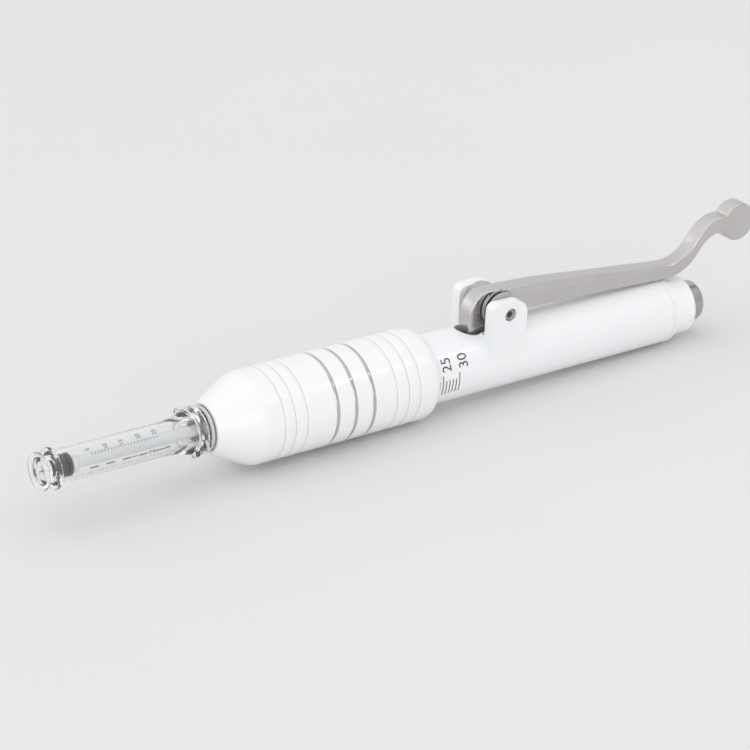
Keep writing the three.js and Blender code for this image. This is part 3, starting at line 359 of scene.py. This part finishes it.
def bend(p0, c, p1, count=14):
    """Points on a quadratic curve, without the first."""
    result = []
    for k in range(1, count + 1):
        t = k / count
        result.append(tuple(p0[i] * (1 - t) ** 2 + c[i] * 2 * t * (1 - t) + p1[i] * t * t for i in (0, 1)))
    return result


def plate(bm, outline, y0, y1):
    """A side outline of (x, z) points made into a plate across the pen."""
    rim = [bm.verts.new((x, y0, z)) for x, z in outline]
    face = bm.faces.new(rim)
    grown = bmesh.ops.extrude_face_region(bm, geom=[face])
    moved = [v for v in grown["geom"] if isinstance(v, bmesh.types.BMVert)]
    bmesh.ops.translate(bm, verts=moved, vec=(0, y1 - y0, 0))
    bmesh.ops.recalc_face_normals(bm, faces=bm.faces)


def cylinder_about_pivot(bm, r, y0, y1):
    made = bmesh.ops.create_cone(bm, cap_ends=True, segments=48, radius1=r, radius2=r, depth=y1 - y0)
    turn = Matrix.Translation((PIVOT_X, (y0 + y1) / 2, PIVOT_Z)) @ Matrix.Rotation(-math.pi / 2, 4, "X")
    bmesh.ops.transform(bm, matrix=turn, verts=made["verts"])


def cutter(build):
    """A throwaway solid for cutting or joining; it is in pen millimetres, placed like a piece."""
    bm = bmesh.new()
    build(bm)
    bmesh.ops.recalc_face_normals(bm, faces=bm.faces)
    return settle(bm, "cutter", [])


def combine(piece, tools):
    """Joins ("UNION") or cuts ("DIFFERENCE") solids into the piece, then discards them."""
    for kind, tool in tools:
        step = piece.modifiers.new(kind, "BOOLEAN")
        step.operation = kind
        step.solver = "EXACT"
        step.object = tool
    bpy.context.view_layer.update()
    seen = piece.evaluated_get(bpy.context.evaluated_depsgraph_get())
    mesh = bpy.data.meshes.new_from_object(seen)
    piece.modifiers.clear()
    piece.data = mesh
    for _, tool in tools:
        bpy.data.objects.remove(tool)
    mesh.polygons.foreach_set("use_smooth", [True] * len(mesh.polygons))
    mesh.set_sharp_from_angle(angle=math.radians(32))
    return piece


def block(bm, x0, x1, y0, y1, z0, z1):
    made = bmesh.ops.create_cube(bm, size=1)
    size = Matrix.Diagonal((x1 - x0, y1 - y0, z1 - z0, 1))
    middle = Matrix.Translation(((x0 + x1) / 2, (y0 + y1) / 2, (z0 + z1) / 2))
    bmesh.ops.transform(bm, matrix=middle @ size, verts=made["verts"])


# ---------------------------------------------------------------- tube with its hinge ears

def ear_outline():
    front, rear = PIVOT_X - 6.2, PIVOT_X + 5.7
    points = [(front, 0), (rear, 0)]
    points += arc(rear - 4, EAR_TOP - 4, 4, 0, 90, 12)
    points += arc(front + 2.2, EAR_TOP - 2.2, 2.2, 90, 180, 10)
    return points


def lever_slot(bm):
    front, rear, half = PIVOT_X - 11.3 + 4, PIVOT_X + 7.5 - 4, 4.0
    outline = arc(front, 0, half, 90, 270, 20) + arc(rear, 0, half, -90, 90, 20)
    rim = [bm.verts.new((x, y, 0)) for x, y in outline]
    face = bm.faces.new(rim)
    grown = bmesh.ops.extrude_face_region(bm, geom=[face])
    moved = [v for v in grown["geom"] if isinstance(v, bmesh.types.BMVert)]
    bmesh.ops.translate(bm, verts=moved, vec=(0, 0, 12))


def tube_piece():
    bm = bmesh.new()
    spin_profile(bm, rounded([
        (TUBE_FRONT, BORE_R, False), (TUBE_FRONT, TUBE_R, True), (TUBE_REAR - 1.75, TUBE_R, False),
        (TUBE_REAR - 1.7, TUBE_R - 0.25, False), (TUBE_REAR - 1.35, TUBE_R - 0.25, False),
        (TUBE_REAR - 1.3, TUBE_R, False), (TUBE_REAR, TUBE_R, True), (TUBE_REAR, SEAT_R, False),
        (TUBE_REAR - 4.5, SEAT_R, False), (TUBE_REAR - 4.5, BORE_R, False),
    ]), steps=144)
    tube = settle(bm, "main_tube_body", [TUBE_ENAMEL])

    def ears(bm):
        plate(bm, ear_outline(), -EAR_FACE, EAR_FACE)

    def gap(bm):
        block(bm, PIVOT_X - 6.3, PIVOT_X + 5.8, -EAR_GAP / 2, EAR_GAP / 2, TUBE_R - 0.6, EAR_TOP + 1)

    def bore(bm):
        front, rear = TUBE_FRONT + 1, TUBE_REAR - 5
        spin_profile(bm, [(front, 0), (front, BORE_R), (rear, BORE_R), (rear, 0)], 144)

    def pin_hole(bm):
        cylinder_about_pivot(bm, PIN_R + 0.3, -EAR_FACE - 1, EAR_FACE + 1)

    def key_hole(bm):
        made = bmesh.ops.create_cone(bm, cap_ends=True, segments=32, radius1=1.6, radius2=1.6, depth=12)
        bmesh.ops.translate(bm, verts=made["verts"], vec=(TUBE_FRONT + 3, 0, -6))

    combine(tube, [
        ("UNION", cutter(ears)), ("DIFFERENCE", cutter(gap)), ("DIFFERENCE", cutter(bore)),
        ("DIFFERENCE", cutter(lever_slot)), ("DIFFERENCE", cutter(pin_hole)),
        ("DIFFERENCE", cutter(key_hole)),
    ])
    soften(tube, 0.28, 3, 40)
    return join_on(tube, "housing", "white_paint", "main_tube")


# ---------------------------------------------------------------- printed dose scale

def wrap_round(bm, radius):
    """Bends a flat print onto the tube: x stays, y is the length round it, z the height over it."""
    for v in bm.verts:
        angle = v.co.y / radius
        reach = radius + v.co.z
        v.co = Vector((v.co.x, -reach * math.sin(angle), reach * math.cos(angle)))
    bm.normal_update()
    inward = [f for f in bm.faces if f.normal.yz.dot(f.calc_center_median().yz) < 0]
    bmesh.ops.reverse_faces(bm, faces=inward)


def print_tick(bm, x, y0, y1, width):
    """A flat mark on the line of a reading, y0 to y1 round the barrel or tube."""
    made = bmesh.ops.create_grid(bm, x_segments=1, y_segments=6, size=0.5)
    scale = Matrix.Translation((x, (y0 + y1) / 2, 0)) @ Matrix.Diagonal((width, y1 - y0, 1, 1))
    bmesh.ops.transform(bm, matrix=scale, verts=made["verts"])


def print_number(bm, text, size, x, y):
    """A number as a flat mesh, its middle at (x, y)."""
    curve = bpy.data.curves.new("number", "FONT")
    curve.body = text
    curve.size = size
    curve.align_x = "CENTER"
    curve.align_y = "CENTER"
    curve.offset = -0.002 * size
    carrier = bpy.data.objects.new("number", curve)
    bpy.context.scene.collection.objects.link(carrier)
    bpy.context.view_layer.update()
    flat = bpy.data.meshes.new_from_object(carrier.evaluated_get(bpy.context.evaluated_depsgraph_get()))
    bpy.data.objects.remove(carrier)
    before = set(bm.verts)
    bm.from_mesh(flat)
    bpy.data.meshes.remove(flat)
    new = [v for v in bm.verts if v not in before]
    middle = sum((v.co for v in new), Vector()) / len(new)
    # The number reads round the near side, with its top towards the nose.
    lay = Matrix(((0, -1, 0, x), (-1, 0, 0, y), (0, 0, 1, 0), (0, 0, 0, 1)))
    bmesh.ops.transform(bm, matrix=lay @ Matrix.Translation(-middle), verts=new)


def fine_print(bm, radius):
    """Splits a flat print finely enough to follow the curve, then lays it on."""
    for _ in range(4):
        bmesh.ops.triangulate(bm, faces=bm.faces)
        long = [e for e in bm.edges if abs(e.verts[0].co.y - e.verts[1].co.y) > 0.3]
        bmesh.ops.subdivide_edges(bm, edges=long, cuts=1)
    bmesh.ops.triangulate(bm, faces=bm.faces)
    wrap_round(bm, radius)


# Places on the scale are degrees round the tube from its top, towards the near side.
LONG_TICK_START, SHORT_TICK_START, TICK_END, DIGIT_MIDDLE = 78, 87, 112, 61.5
TICK_WIDTH, DIGIT_SIZE, DIGIT_SHIFT = 0.27, 4.3, 1.55
PRINT_CLEARANCE, INK = 0.006, 0.02


def dose_scale():
    bm = bmesh.new()
    for reading in range(LAST_READING + 1):
        x = SCALE_ZERO + reading * DIVISION
        numbered = reading % 5 == 0
        start = LONG_TICK_START if numbered else SHORT_TICK_START
        arc_length = math.radians(1) * TUBE_R
        print_tick(bm, x, start * arc_length, TICK_END * arc_length, TICK_WIDTH)
        if numbered:
            print_number(bm, str(reading), DIGIT_SIZE, x + DIGIT_SHIFT, DIGIT_MIDDLE * arc_length)
    fine_print(bm, TUBE_R + PRINT_CLEARANCE)
    made = settle(bm, "dose_scale_print", [PRINT])
    thicken(made, INK)
    return join_on(made, "housing", "black_rubber")


def thicken(piece, amount):
    wall = piece.modifiers.new("ink thickness", "SOLIDIFY")
    wall.thickness = amount * MM
    wall.offset = 1.0
    return piece


# ---------------------------------------------------------------- dose collar

BANDS = [COLLAR_FRONT + at for at in (34.35, 40.24, 46.17)]
FINE_LINES = [COLLAR_FRONT + at for at in (17.44, 20.85, 24.65, 53.72, 57.66, 61.44)]


VALLEY_DEPTH, VALLEY_HALF = 0.14, 1.25
LINE_WIDTH, LINE_DEPTH = 0.16, 0.14
BAND_WIDTH, BAND_DEPTH = 1.1, 0.45


def valley_side(x, side):
    """The smooth fall from the collar's skin to a fine line, on one side of it."""
    points = []
    steps = 7
    for k in range(steps):
        t = k / steps
        fall = VALLEY_DEPTH * (1 - math.cos(math.pi * t)) / 2
        points.append((x + side * VALLEY_HALF * (1 - t), COLLAR_R - fall))
    return points if side < 0 else points[::-1]


def collar_profile():
    """Stations of the collar's outside, from the nose to the rear edge."""
    points = [(COLLAR_FRONT, 6.9), (COLLAR_FRONT + 0.12, 7.12), (COLLAR_FRONT + 0.4, 7.28)]
    points += [(-11.2, 12.2)]
    points += bend((-11.2, 12.2), (-9.6, 13.0), (-8.0, COLLAR_R), 8)
    cuts = [(x, LINE_WIDTH, LINE_DEPTH) for x in FINE_LINES] + [(x, BAND_WIDTH, BAND_DEPTH) for x in BANDS]
    for x, width, depth in sorted(cuts):
        half = width / 2
        edge = min(0.07, half / 2)
        sink = VALLEY_DEPTH if x in FINE_LINES else 0.0
        rim = COLLAR_R - sink
        if sink:
            points += valley_side(x, -1)
        points += [(x - half - edge, rim), (x - half, rim - edge), (x - half * 0.9, rim - depth),
                   (x + half * 0.9, rim - depth), (x + half, rim - edge), (x + half + edge, rim)]
        if sink:
            points += valley_side(x, 1)
    shoulder = (COLLAR_REAR - 3.6, COLLAR_R)
    points += [shoulder]
    points += bend(shoulder, (COLLAR_REAR - 1.2, COLLAR_R - 0.3), (COLLAR_REAR, 10.5), 10)
    return points


def collar_piece():
    bm = bmesh.new()
    step, nose_bore = -4.0, 6.4
    inside = [(COLLAR_REAR, COLLAR_BORE_R), (step, COLLAR_BORE_R), (step, nose_bore)]
    inside += [(COLLAR_FRONT, nose_bore), (COLLAR_FRONT, 6.9)]
    spin_profile(bm, collar_profile() + inside, steps=160)
    collar = settle(bm, "dose_collar_shell", [COLLAR_ENAMEL, GROOVE_PAINTED_SHADE], 28)
    # Faces at the bottom of each fine line take the painted groove shade.
    for face in collar.data.polygons:
        x = (face.center.x + AXIS_BACK) / MM
        r = math.hypot(face.center.y, face.center.z - AXIS_HEIGHT) / MM
        in_painted_groove_shade = any(abs(x - at) < 0.12 for at in FINE_LINES)
        if in_painted_groove_shade and COLLAR_R - 1 < r < COLLAR_R - VALLEY_DEPTH - 0.05:
            face.material_index = 1
    return join_on(collar, "collar", "white_paint", "dose_collar")


def band_rings():
    bm = bmesh.new()
    half, inner, edge, crown = 0.46, 12.56, 12.66, 0.45
    for x in BANDS:
        profile = [(x - half, inner), (x - half, edge)]
        profile += arc(x, edge, half, 180, 0, 10)[1:-1]
        profile = [(px, edge + (pr - edge) * crown) if pr > edge else (px, pr) for px, pr in profile]
        profile += [(x + half, edge), (x + half, inner), (x - half, inner)]
        spin_profile(bm, profile, 160)
    made = settle(bm, "collar_bright_bands", [BAND_STEEL], 50)
    return join_on(made, "collar", "polished_steel")


# ---------------------------------------------------------------- loading lever

def lever_outline():
    """Foot, finger and hub in front, then the long bar, the S bend and the thumb pad."""
    foot_x, foot_z, foot_r = PIVOT_X - 7.4, 3.0, 1.6
    finger_x, knee_r = foot_x - foot_r, 6.9
    top, under = PIVOT_Z + 5.0, TUBE_R + 0.3
    bar_top = under + 4.2
    neck_x, neck_under = TUBE_REAR + 20, under + 10.5
    neck_top = neck_under + 4.7
    pad_x, pad_z, pad_r = TUBE_REAR + 26.5, under + 12.4, 5.7
    turn_top = (TUBE_REAR + 10.4, under + 9.1)
    turn_under = (TUBE_REAR + 12.3, under + 6.4)
    slope = 1.5
    points = [(finger_x, foot_z), (finger_x, 8.0)]
    points += arc(finger_x + knee_r, top - knee_r, knee_r, 180, 90, 20)
    taper = top - bar_top
    points += [(88.0, top - taper * 0.17), (110.0, top - taper * 0.57), (TUBE_REAR, bar_top)]
    points += bend((TUBE_REAR, bar_top), (turn_top[0] - (turn_top[1] - bar_top) / slope, bar_top), turn_top)
    points += bend(turn_top, (turn_top[0] + (neck_top - turn_top[1]) / slope, neck_top), (neck_x, neck_top))
    high = 180 - math.degrees(math.asin((neck_top - pad_z) / pad_r))
    low = -180 + math.degrees(math.asin((pad_z - neck_under) / pad_r))
    points += arc(pad_x, pad_z, pad_r, high, low, 44)
    points += [(neck_x, neck_under)]
    corner = (turn_under[0] + (neck_under - turn_under[1]) / slope, neck_under)
    points += bend((neck_x, neck_under), corner, turn_under)
    points += bend(turn_under, (turn_under[0] - 6.4 / slope, under), (TUBE_REAR, under))
    points += [(108.0, under + 1.25), (PIVOT_X + 7.7, top - 8.0)]
    points += arc(PIVOT_X, PIVOT_Z, 5.4, -54, -111.6, 10)
    points += [(foot_x + foot_r, foot_z)]
    points += arc(foot_x, foot_z, foot_r, 0, -180, 12)[1:-1]
    return points


def lever_piece():
    bm = bmesh.new()
    plate(bm, lever_outline(), -LEVER_HALF, LEVER_HALF)
    sides = [e for e in bm.edges if abs(abs(e.verts[0].co.y) - LEVER_HALF) < 1e-4
             and abs(e.verts[0].co.y - e.verts[1].co.y) < 1e-4]
    bmesh.ops.bevel(bm, geom=sides, offset=0.5, offset_type="OFFSET", segments=4, profile=0.5, affect="EDGES",
                    material=-1)
    lever = settle(bm, "loading_lever", [LEVER_STEEL], 30)

    def hole(bm):
        cylinder_about_pivot(bm, PIN_R + 0.3, -4, 4)

    combine(lever, [("DIFFERENCE", cutter(hole))])
    return join_on(lever, "lever", "brushed_steel", "cocking_lever")


# ---------------------------------------------------------------- pin, closing spring, spacers

def turned_about_pivot(name, profile, finish, steps=64):
    """A closed profile of (y, radius) points turned about the pivot."""
    bm = bmesh.new()
    spin_profile(bm, profile, steps)
    turn = Matrix.Translation((PIVOT_X, 0, PIVOT_Z)) @ Matrix.Rotation(math.pi / 2, 4, "Z")
    bmesh.ops.transform(bm, matrix=turn, verts=bm.verts)
    return settle(bm, name, finish)


def pin_piece():
    end = EAR_FACE - 0.5
    half = rounded([(-end, 0.95, True), (-end, PIN_R, True), (end, PIN_R, True), (end, 0.95, True),
                    (end - 1.6, 0.9, False), (end - 1.6, 0.0, False), (-end + 1.6, 0.0, False),
                    (-end + 1.6, 0.9, False)], 0.18)
    pin = turned_about_pivot("hinge_pin", half, [PIN_STEEL, SOCKET_PAINTED_SHADE], 64)
    # Faces inside the pin's end sockets take the painted socket shade.
    for face in pin.data.polygons:
        y = abs(face.center.y) / MM
        along = (face.center.x + AXIS_BACK) / MM - PIVOT_X
        above = (face.center.z - AXIS_HEIGHT) / MM - PIVOT_Z
        r = math.hypot(along, above)
        if r < 0.93 and y < end - 0.3:
            face.material_index = 1
    return join_on(pin, "housing", "polished_steel", "pivot_pin")


def coil(bm, radius, length, turns, wire, sides=10, steps_per_turn=32):
    """A wire helix along +X from the origin."""
    ring = bmesh.ops.create_circle(bm, cap_ends=False, segments=sides, radius=wire)["verts"]
    bmesh.ops.rotate(bm, verts=ring, cent=(0, 0, 0), matrix=Matrix.Rotation(math.pi / 2, 3, "X"))
    bmesh.ops.translate(bm, verts=ring, vec=(0, 0, radius))
    edges = list({e for v in ring for e in v.link_edges})
    steps = round(turns * steps_per_turn)
    bmesh.ops.spin(bm, geom=ring + edges, cent=(0, 0, 0), axis=(1, 0, 0), angle=2 * math.pi * turns,
                   steps=steps, dvec=(length / steps, 0, 0))
    bmesh.ops.holes_fill(bm, edges=bm.edges, sides=0)
    bmesh.ops.recalc_face_normals(bm, faces=bm.faces)


def closing_spring():
    bm = bmesh.new()
    coil(bm, 5.1, 1.1, 1.9, 0.33, 10, 40)
    turn = Matrix.Translation((PIVOT_X, -4.35, PIVOT_Z)) @ Matrix.Rotation(math.pi / 2, 4, "Z")
    bmesh.ops.transform(bm, matrix=turn, verts=bm.verts)
    made = settle(bm, "closing_spring", [WIRE_STEEL], 60)
    return join_on(made, "housing", "spring_steel", "torsion_spring")


def spacer(name, node, radius, y0, y1, finish, slot):
    bore = PIN_R + 0.3
    profile = rounded([(y0, bore, True), (y0, radius, True), (y1, radius, True), (y1, bore, True)], 0.15)
    return join_on(turned_about_pivot(name, profile, [finish], 72), "housing", slot, node)


# ---------------------------------------------------------------- cap and button

def cap_piece():
    bm = bmesh.new()
    front, rear = TUBE_REAR + 0.3, TUBE_REAR + 8.2
    profile = [(front, 8.3), (front, 8.7), (front + 0.25, 8.9)]
    profile += [(front + 1.3, 8.9), (front + 1.7, 8.82), (front + 2.1, 8.66)]
    profile += arc(rear - 1.7, 6.9, 1.7, 90, 0, 12)
    profile += bend((rear, 6.9), (rear, 6.4), (rear - 0.25, 6.32), 5)
    ledge, seat = rear - 4.2, TUBE_REAR - 4.2
    profile += [(ledge, 6.3), (ledge, 7.0), (seat, 7.0), (seat, 8.3), (front, 8.3)]
    spin_profile(bm, profile, 144)
    return join_on(settle(bm, "end_cap_shell", [CAP_ENAMEL], 34), "housing", "white_paint", "end_cap")


def button_piece():
    bm = bmesh.new()
    front, face = TUBE_REAR + 2.2, TUBE_REAR + 13.3
    profile = [(front, 2.3), (front, 6.7), (front + 1.5, 6.7), (front + 1.5, 6.0)]
    profile += [(face - 3.0, 6.0)] + arc(face - 1.6, 4.4, 1.6, 90, 0, 14)
    profile += [(face, 3.9), (face - 0.05, 3.0), (face - 0.08, 1.5), (face - 0.09, 0.0)]
    profile += [(front + 4.7, 0.0), (front + 4.7, 2.3), (front, 2.3)]
    spin_profile(bm, profile, 128)
    button = settle(bm, "push_button", [BUTTON_STEEL], 34)
    return join_on(button, "trigger", "polished_steel", "trigger_button")


# ---------------------------------------------------------------- ampoule

def lobe(angle, radius, x0, x1):
    def build(bm):
        made = bmesh.ops.create_cone(bm, cap_ends=True, segments=36, radius1=1.5, radius2=1.5, depth=x1 - x0)
        turn = Matrix.Translation(((x0 + x1) / 2, -radius * math.cos(angle), radius * math.sin(angle)))
        bmesh.ops.transform(bm, matrix=turn @ Matrix.Rotation(math.pi / 2, 4, "Y"), verts=made["verts"])
    return build


def barrel_piece():
    bm = bmesh.new()
    nozzle_disc = [(0, 0.4), (0, 4.7), (0.15, 5.0), (0.45, 5.1), (1.2, 5.1), (1.4, 4.9), (1.5, 3.8),
                   (1.8, 3.6)]
    collar_disc = [(3.4, 3.6), (3.6, 3.8), (3.6, 5.5), (3.8, 5.7), (4.6, 5.7), (4.8, 5.5), (4.8, 4.75),
                   (5.1, 4.55)]
    profile = [(NOZZLE + x, r) for x, r in nozzle_disc + collar_disc] + [(GRIP_RING - 8, 4.55)]
    profile += bend((GRIP_RING - 8, 4.55), (GRIP_RING - 3, 4.7), (GRIP_RING - 0.3, 5.8), 12)
    ring = [(0, 5.9), (0, 6.1), (0.2, 6.3), (1.1, 6.3), (1.3, 6.1), (1.3, 4.7), (7.4, 4.7), (7.4, 3.45)]
    profile += [(GRIP_RING + x, r) for x, r in ring]
    bore = [(5.8, 3.45), (5.8, 2.5), (3.2, 2.4), (3.2, 0.4), (0, 0.4)]
    profile += [(NOZZLE + x, r) for x, r in bore]
    spin_profile(bm, profile, 96)
    barrel = settle(bm, "ampoule_barrel_clear", [CLEAR], 34)
    tilt = -0.74
    lobes = [cutter(lobe(a, 5.8, GRIP_RING, GRIP_RING + 1.3)) for a in (tilt, math.pi + tilt)]
    combine(barrel, [("UNION", tool) for tool in lobes])
    return join_on(barrel, "carriage", "clear_plastic", "ampoule_barrel")


def adapter_piece():
    bm = bmesh.new()
    front, rear = GRIP_RING + 2.2, GRIP_RING + 3.9
    corners = [(front, 5.0, False), (front, 6.7, True), (rear, 6.7, True), (rear, 5.0, False)]
    spin_profile(bm, rounded(corners, 0.4), 96)
    adapter = settle(bm, "ampoule_adapter_clear", [CLEAR], 34)
    tilt = -0.26
    lobes = [cutter(lobe(a, 6.2, front, rear)) for a in (tilt, math.pi + tilt)]
    combine(adapter, [("UNION", tool) for tool in lobes])
    return join_on(adapter, "carriage", "clear_plastic", "ampoule_adapter")


def ampoule_print():
    bm = bmesh.new()
    r = 4.56
    low, high = math.radians(92) * r, math.radians(28) * r
    first, step, divisions = -57.1, 4.9, 5
    for k in range(5):
        x = first + step * k
        print_tick(bm, x, low - 0.14, low + 0.14, 2.6)
        print_number(bm, str(divisions * (k + 1)), 1.7, x - 0.4, high)
        if k > 1:
            print_number(bm, str(k - 1), 2.3, x + step / 2, low)
    for k in range(4 * divisions + 1):
        print_tick(bm, first + step / divisions * k, high + 1.2, high + 1.7, 0.18)
    fine_print(bm, r)
    made = settle(bm, "ampoule_print", [PRINT])
    thicken(made, INK)
    return join_on(made, "carriage", "black_rubber")


def seal_piece():
    bm = bmesh.new()
    front = NOZZLE + 3.5
    stem = [(0, 0), (0, 1.6), (0.4, 2.1), (2.8, 2.15)]
    front_rib = [(2.9, 3.0), (3.05, 3.15), (3.5, 3.15), (3.65, 3.0), (3.75, 2.5)]
    rear_rib = [(4.4, 2.5), (4.5, 3.0), (4.65, 3.15), (5.4, 3.15), (5.6, 2.9), (5.6, 0)]
    spin_profile(bm, [(front + x, r) for x, r in stem + front_rib + rear_rib], 64)
    seal = settle(bm, "plunger_seal_rubber", [SEAL_RUBBER], 40)
    return join_on(seal, "plunger", "black_rubber", "plunger_seal")


def rod_piece():
    bm = bmesh.new()
    front = NOZZLE + 9.4
    head = [(0, 0), (0, 2.4), (0.2, 2.6), (1.3, 2.6), (2.3, 1.75), (2.5, 1.7)]
    profile = [(front + x, r) for x, r in head] + [(19.7, 1.7), (20.0, 1.4), (20.0, 0)]
    spin_profile(bm, profile, 64)
    rod = settle(bm, "plunger_rod_white", [ROD_PLASTIC], 34)
    return join_on(rod, "plunger", "white_plastic", "plunger_rod")


def o_ring_piece():
    bm = bmesh.new()
    profile = arc(COLLAR_FRONT - 0.8, 6.0, 0.5, 0, 360, 16)
    spin_profile(bm, profile, 72)
    ring = settle(bm, "holder_o_ring_round", [RING_RUBBER], 60)
    return join_on(ring, "carriage", "black_rubber", "holder_o_ring")


# ---------------------------------------------------------------- build

tube_piece()
dose_scale()
collar_piece()
band_rings()
lever_piece()
pin_piece()
closing_spring()
spacer("side_washer_disc", "side_washer", 5.2, -5.75, -5.05, WASHER_PLASTIC, "white_plastic")
spacer("spacer_bush_disc", "spacer_bush", 4.6, 2.9, 5.75, WASHER_PLASTIC, "white_plastic")
cap_piece()
button_piece()
barrel_piece()
adapter_piece()
ampoule_print()
seal_piece()
rod_piece()
o_ring_piece()

KEPT = {
    "key_screw": WIRE_STEEL, "ram_guide": BRASS, "front_buffer": RING_RUBBER, "sear_housing": HOUSING_PLASTIC,
    "main_spring": WIRE_STEEL, "sear_spring": WIRE_STEEL, "button_spring": WIRE_STEEL,
    "retaining_ring": WIRE_STEEL,
    "ampoule_holder": HOUSING_PLASTIC, "ram": RAM_STEEL, "ram_grip_ring": BRASS, "sear_plate": SEAR_STEEL,
    "trigger_stem": HOUSING_PLASTIC,
}
for node, finish in KEPT.items():
    for entry in NODES[node].material_slots:
        entry.material = finish


# ---------------------------------------------------------------- floor, light and camera

# The pen lies on the collar's belly and on the rear end of the tube, so it is nose up.
FLOOR_UP = Vector((-0.0344, 0.04, 1.0)).normalized()
BELLY_X, REST_DEPTH = -0.00635, 0.01305
LOW_POINT = Vector((BELLY_X, 0.0, AXIS_HEIGHT)) - FLOOR_UP * REST_DEPTH


def floor():
    bm = bmesh.new()
    bmesh.ops.create_grid(bm, x_segments=2, y_segments=2, size=3.0)
    lay = Matrix.Translation(LOW_POINT) @ Vector((0, 0, 1)).rotation_difference(FLOOR_UP).to_matrix().to_4x4()
    bmesh.ops.transform(bm, matrix=lay, verts=bm.verts)
    mesh = bpy.data.meshes.new("studio_floor")
    bm.to_mesh(mesh)
    bm.free()
    made = bpy.data.objects.new("studio_floor", mesh)
    bpy.context.scene.collection.objects.link(made)
    paper = skin("studio paper", shade(0.765, 0.76, 0.762), shade(0.785, 0.781, 0.783), 0.85, 0.05,
                 relief=2e-6, drift_scale=9.0, relief_scale=900.0)
    mesh.materials.append(paper)


def area_light(name, direction, distance, size, energy, target=(0.02, 0, 0.015)):
    lamp = bpy.data.lights.new(name, "AREA")
    lamp.shape = "RECTANGLE"
    lamp.size, lamp.size_y = size
    lamp.energy = energy
    made = bpy.data.objects.new(name, lamp)
    bpy.context.scene.collection.objects.link(made)
    away = Vector(direction).normalized()
    made.location = Vector(target) + away * distance
    made.rotation_euler = away.to_track_quat("Z", "Y").to_euler()


def world():
    """A bright room, darker behind the push button, so that steel shows light and dark."""
    sky = bpy.data.worlds.new("studio")
    sky.use_nodes = True
    tree = sky.node_tree
    way = tree.nodes.new("ShaderNodeVectorMath")
    way.operation = "DOT_PRODUCT"
    way.inputs[1].default_value = Vector((-0.75, 0.45, 0.48)).normalized()
    tree.links.new(tree.nodes.new("ShaderNodeTexCoord").outputs["Generated"], way.inputs[0])
    ramp = tree.nodes.new("ShaderNodeMapRange")
    ramp.inputs["From Min"].default_value = -0.6
    ramp.inputs["From Max"].default_value = 0.9
    ramp.inputs["To Min"].default_value = 0.72
    ramp.inputs["To Max"].default_value = 1.04
    tree.links.new(way.outputs["Value"], ramp.inputs["Value"])
    tree.links.new(ramp.outputs["Result"], tree.nodes["Background"].inputs["Strength"])
    tree.nodes["Background"].inputs["Color"].default_value = (0.985, 0.985, 1.0, 1)
    bpy.context.scene.world = sky


def camera():
    lens = bpy.data.cameras.new("camera")
    lens.sensor_width = 36.0
    lens.lens = 153.34
    lens.clip_end = 20.0
    made = bpy.data.objects.new("camera", lens)
    bpy.context.scene.collection.objects.link(made)
    forward = Vector((0.5306, 0.7311, -0.4289)).normalized()
    up = Vector((0.2157, 0.3729, 0.9025))
    right = forward.cross(up).normalized()
    up = right.cross(forward)
    turn = Matrix((right, up, -forward)).transposed().to_4x4()
    made.matrix_world = Matrix.Translation((-0.47635, -0.638, 0.3897)) @ turn
    bpy.context.scene.camera = made


floor()
world()
area_light("overhead softbox", (0.0, 0.1, 1.0), 1.1, (1.2, 1.0), 0.9)
area_light("small front right lamp", (0.53, -0.49, 0.69), 0.9, (0.035, 0.06), 0.35, target=(-0.010, 0, 0.02))
area_light("back left softbox", (-0.59, 0.73, 0.36), 1.1, (0.5, 0.35), 0.2)
area_light("low front fill", (-0.45, -0.9, 0.3), 1.3, (1.2, 0.7), 3.0)
camera()
bpy.context.scene.view_settings.view_transform = "Standard"
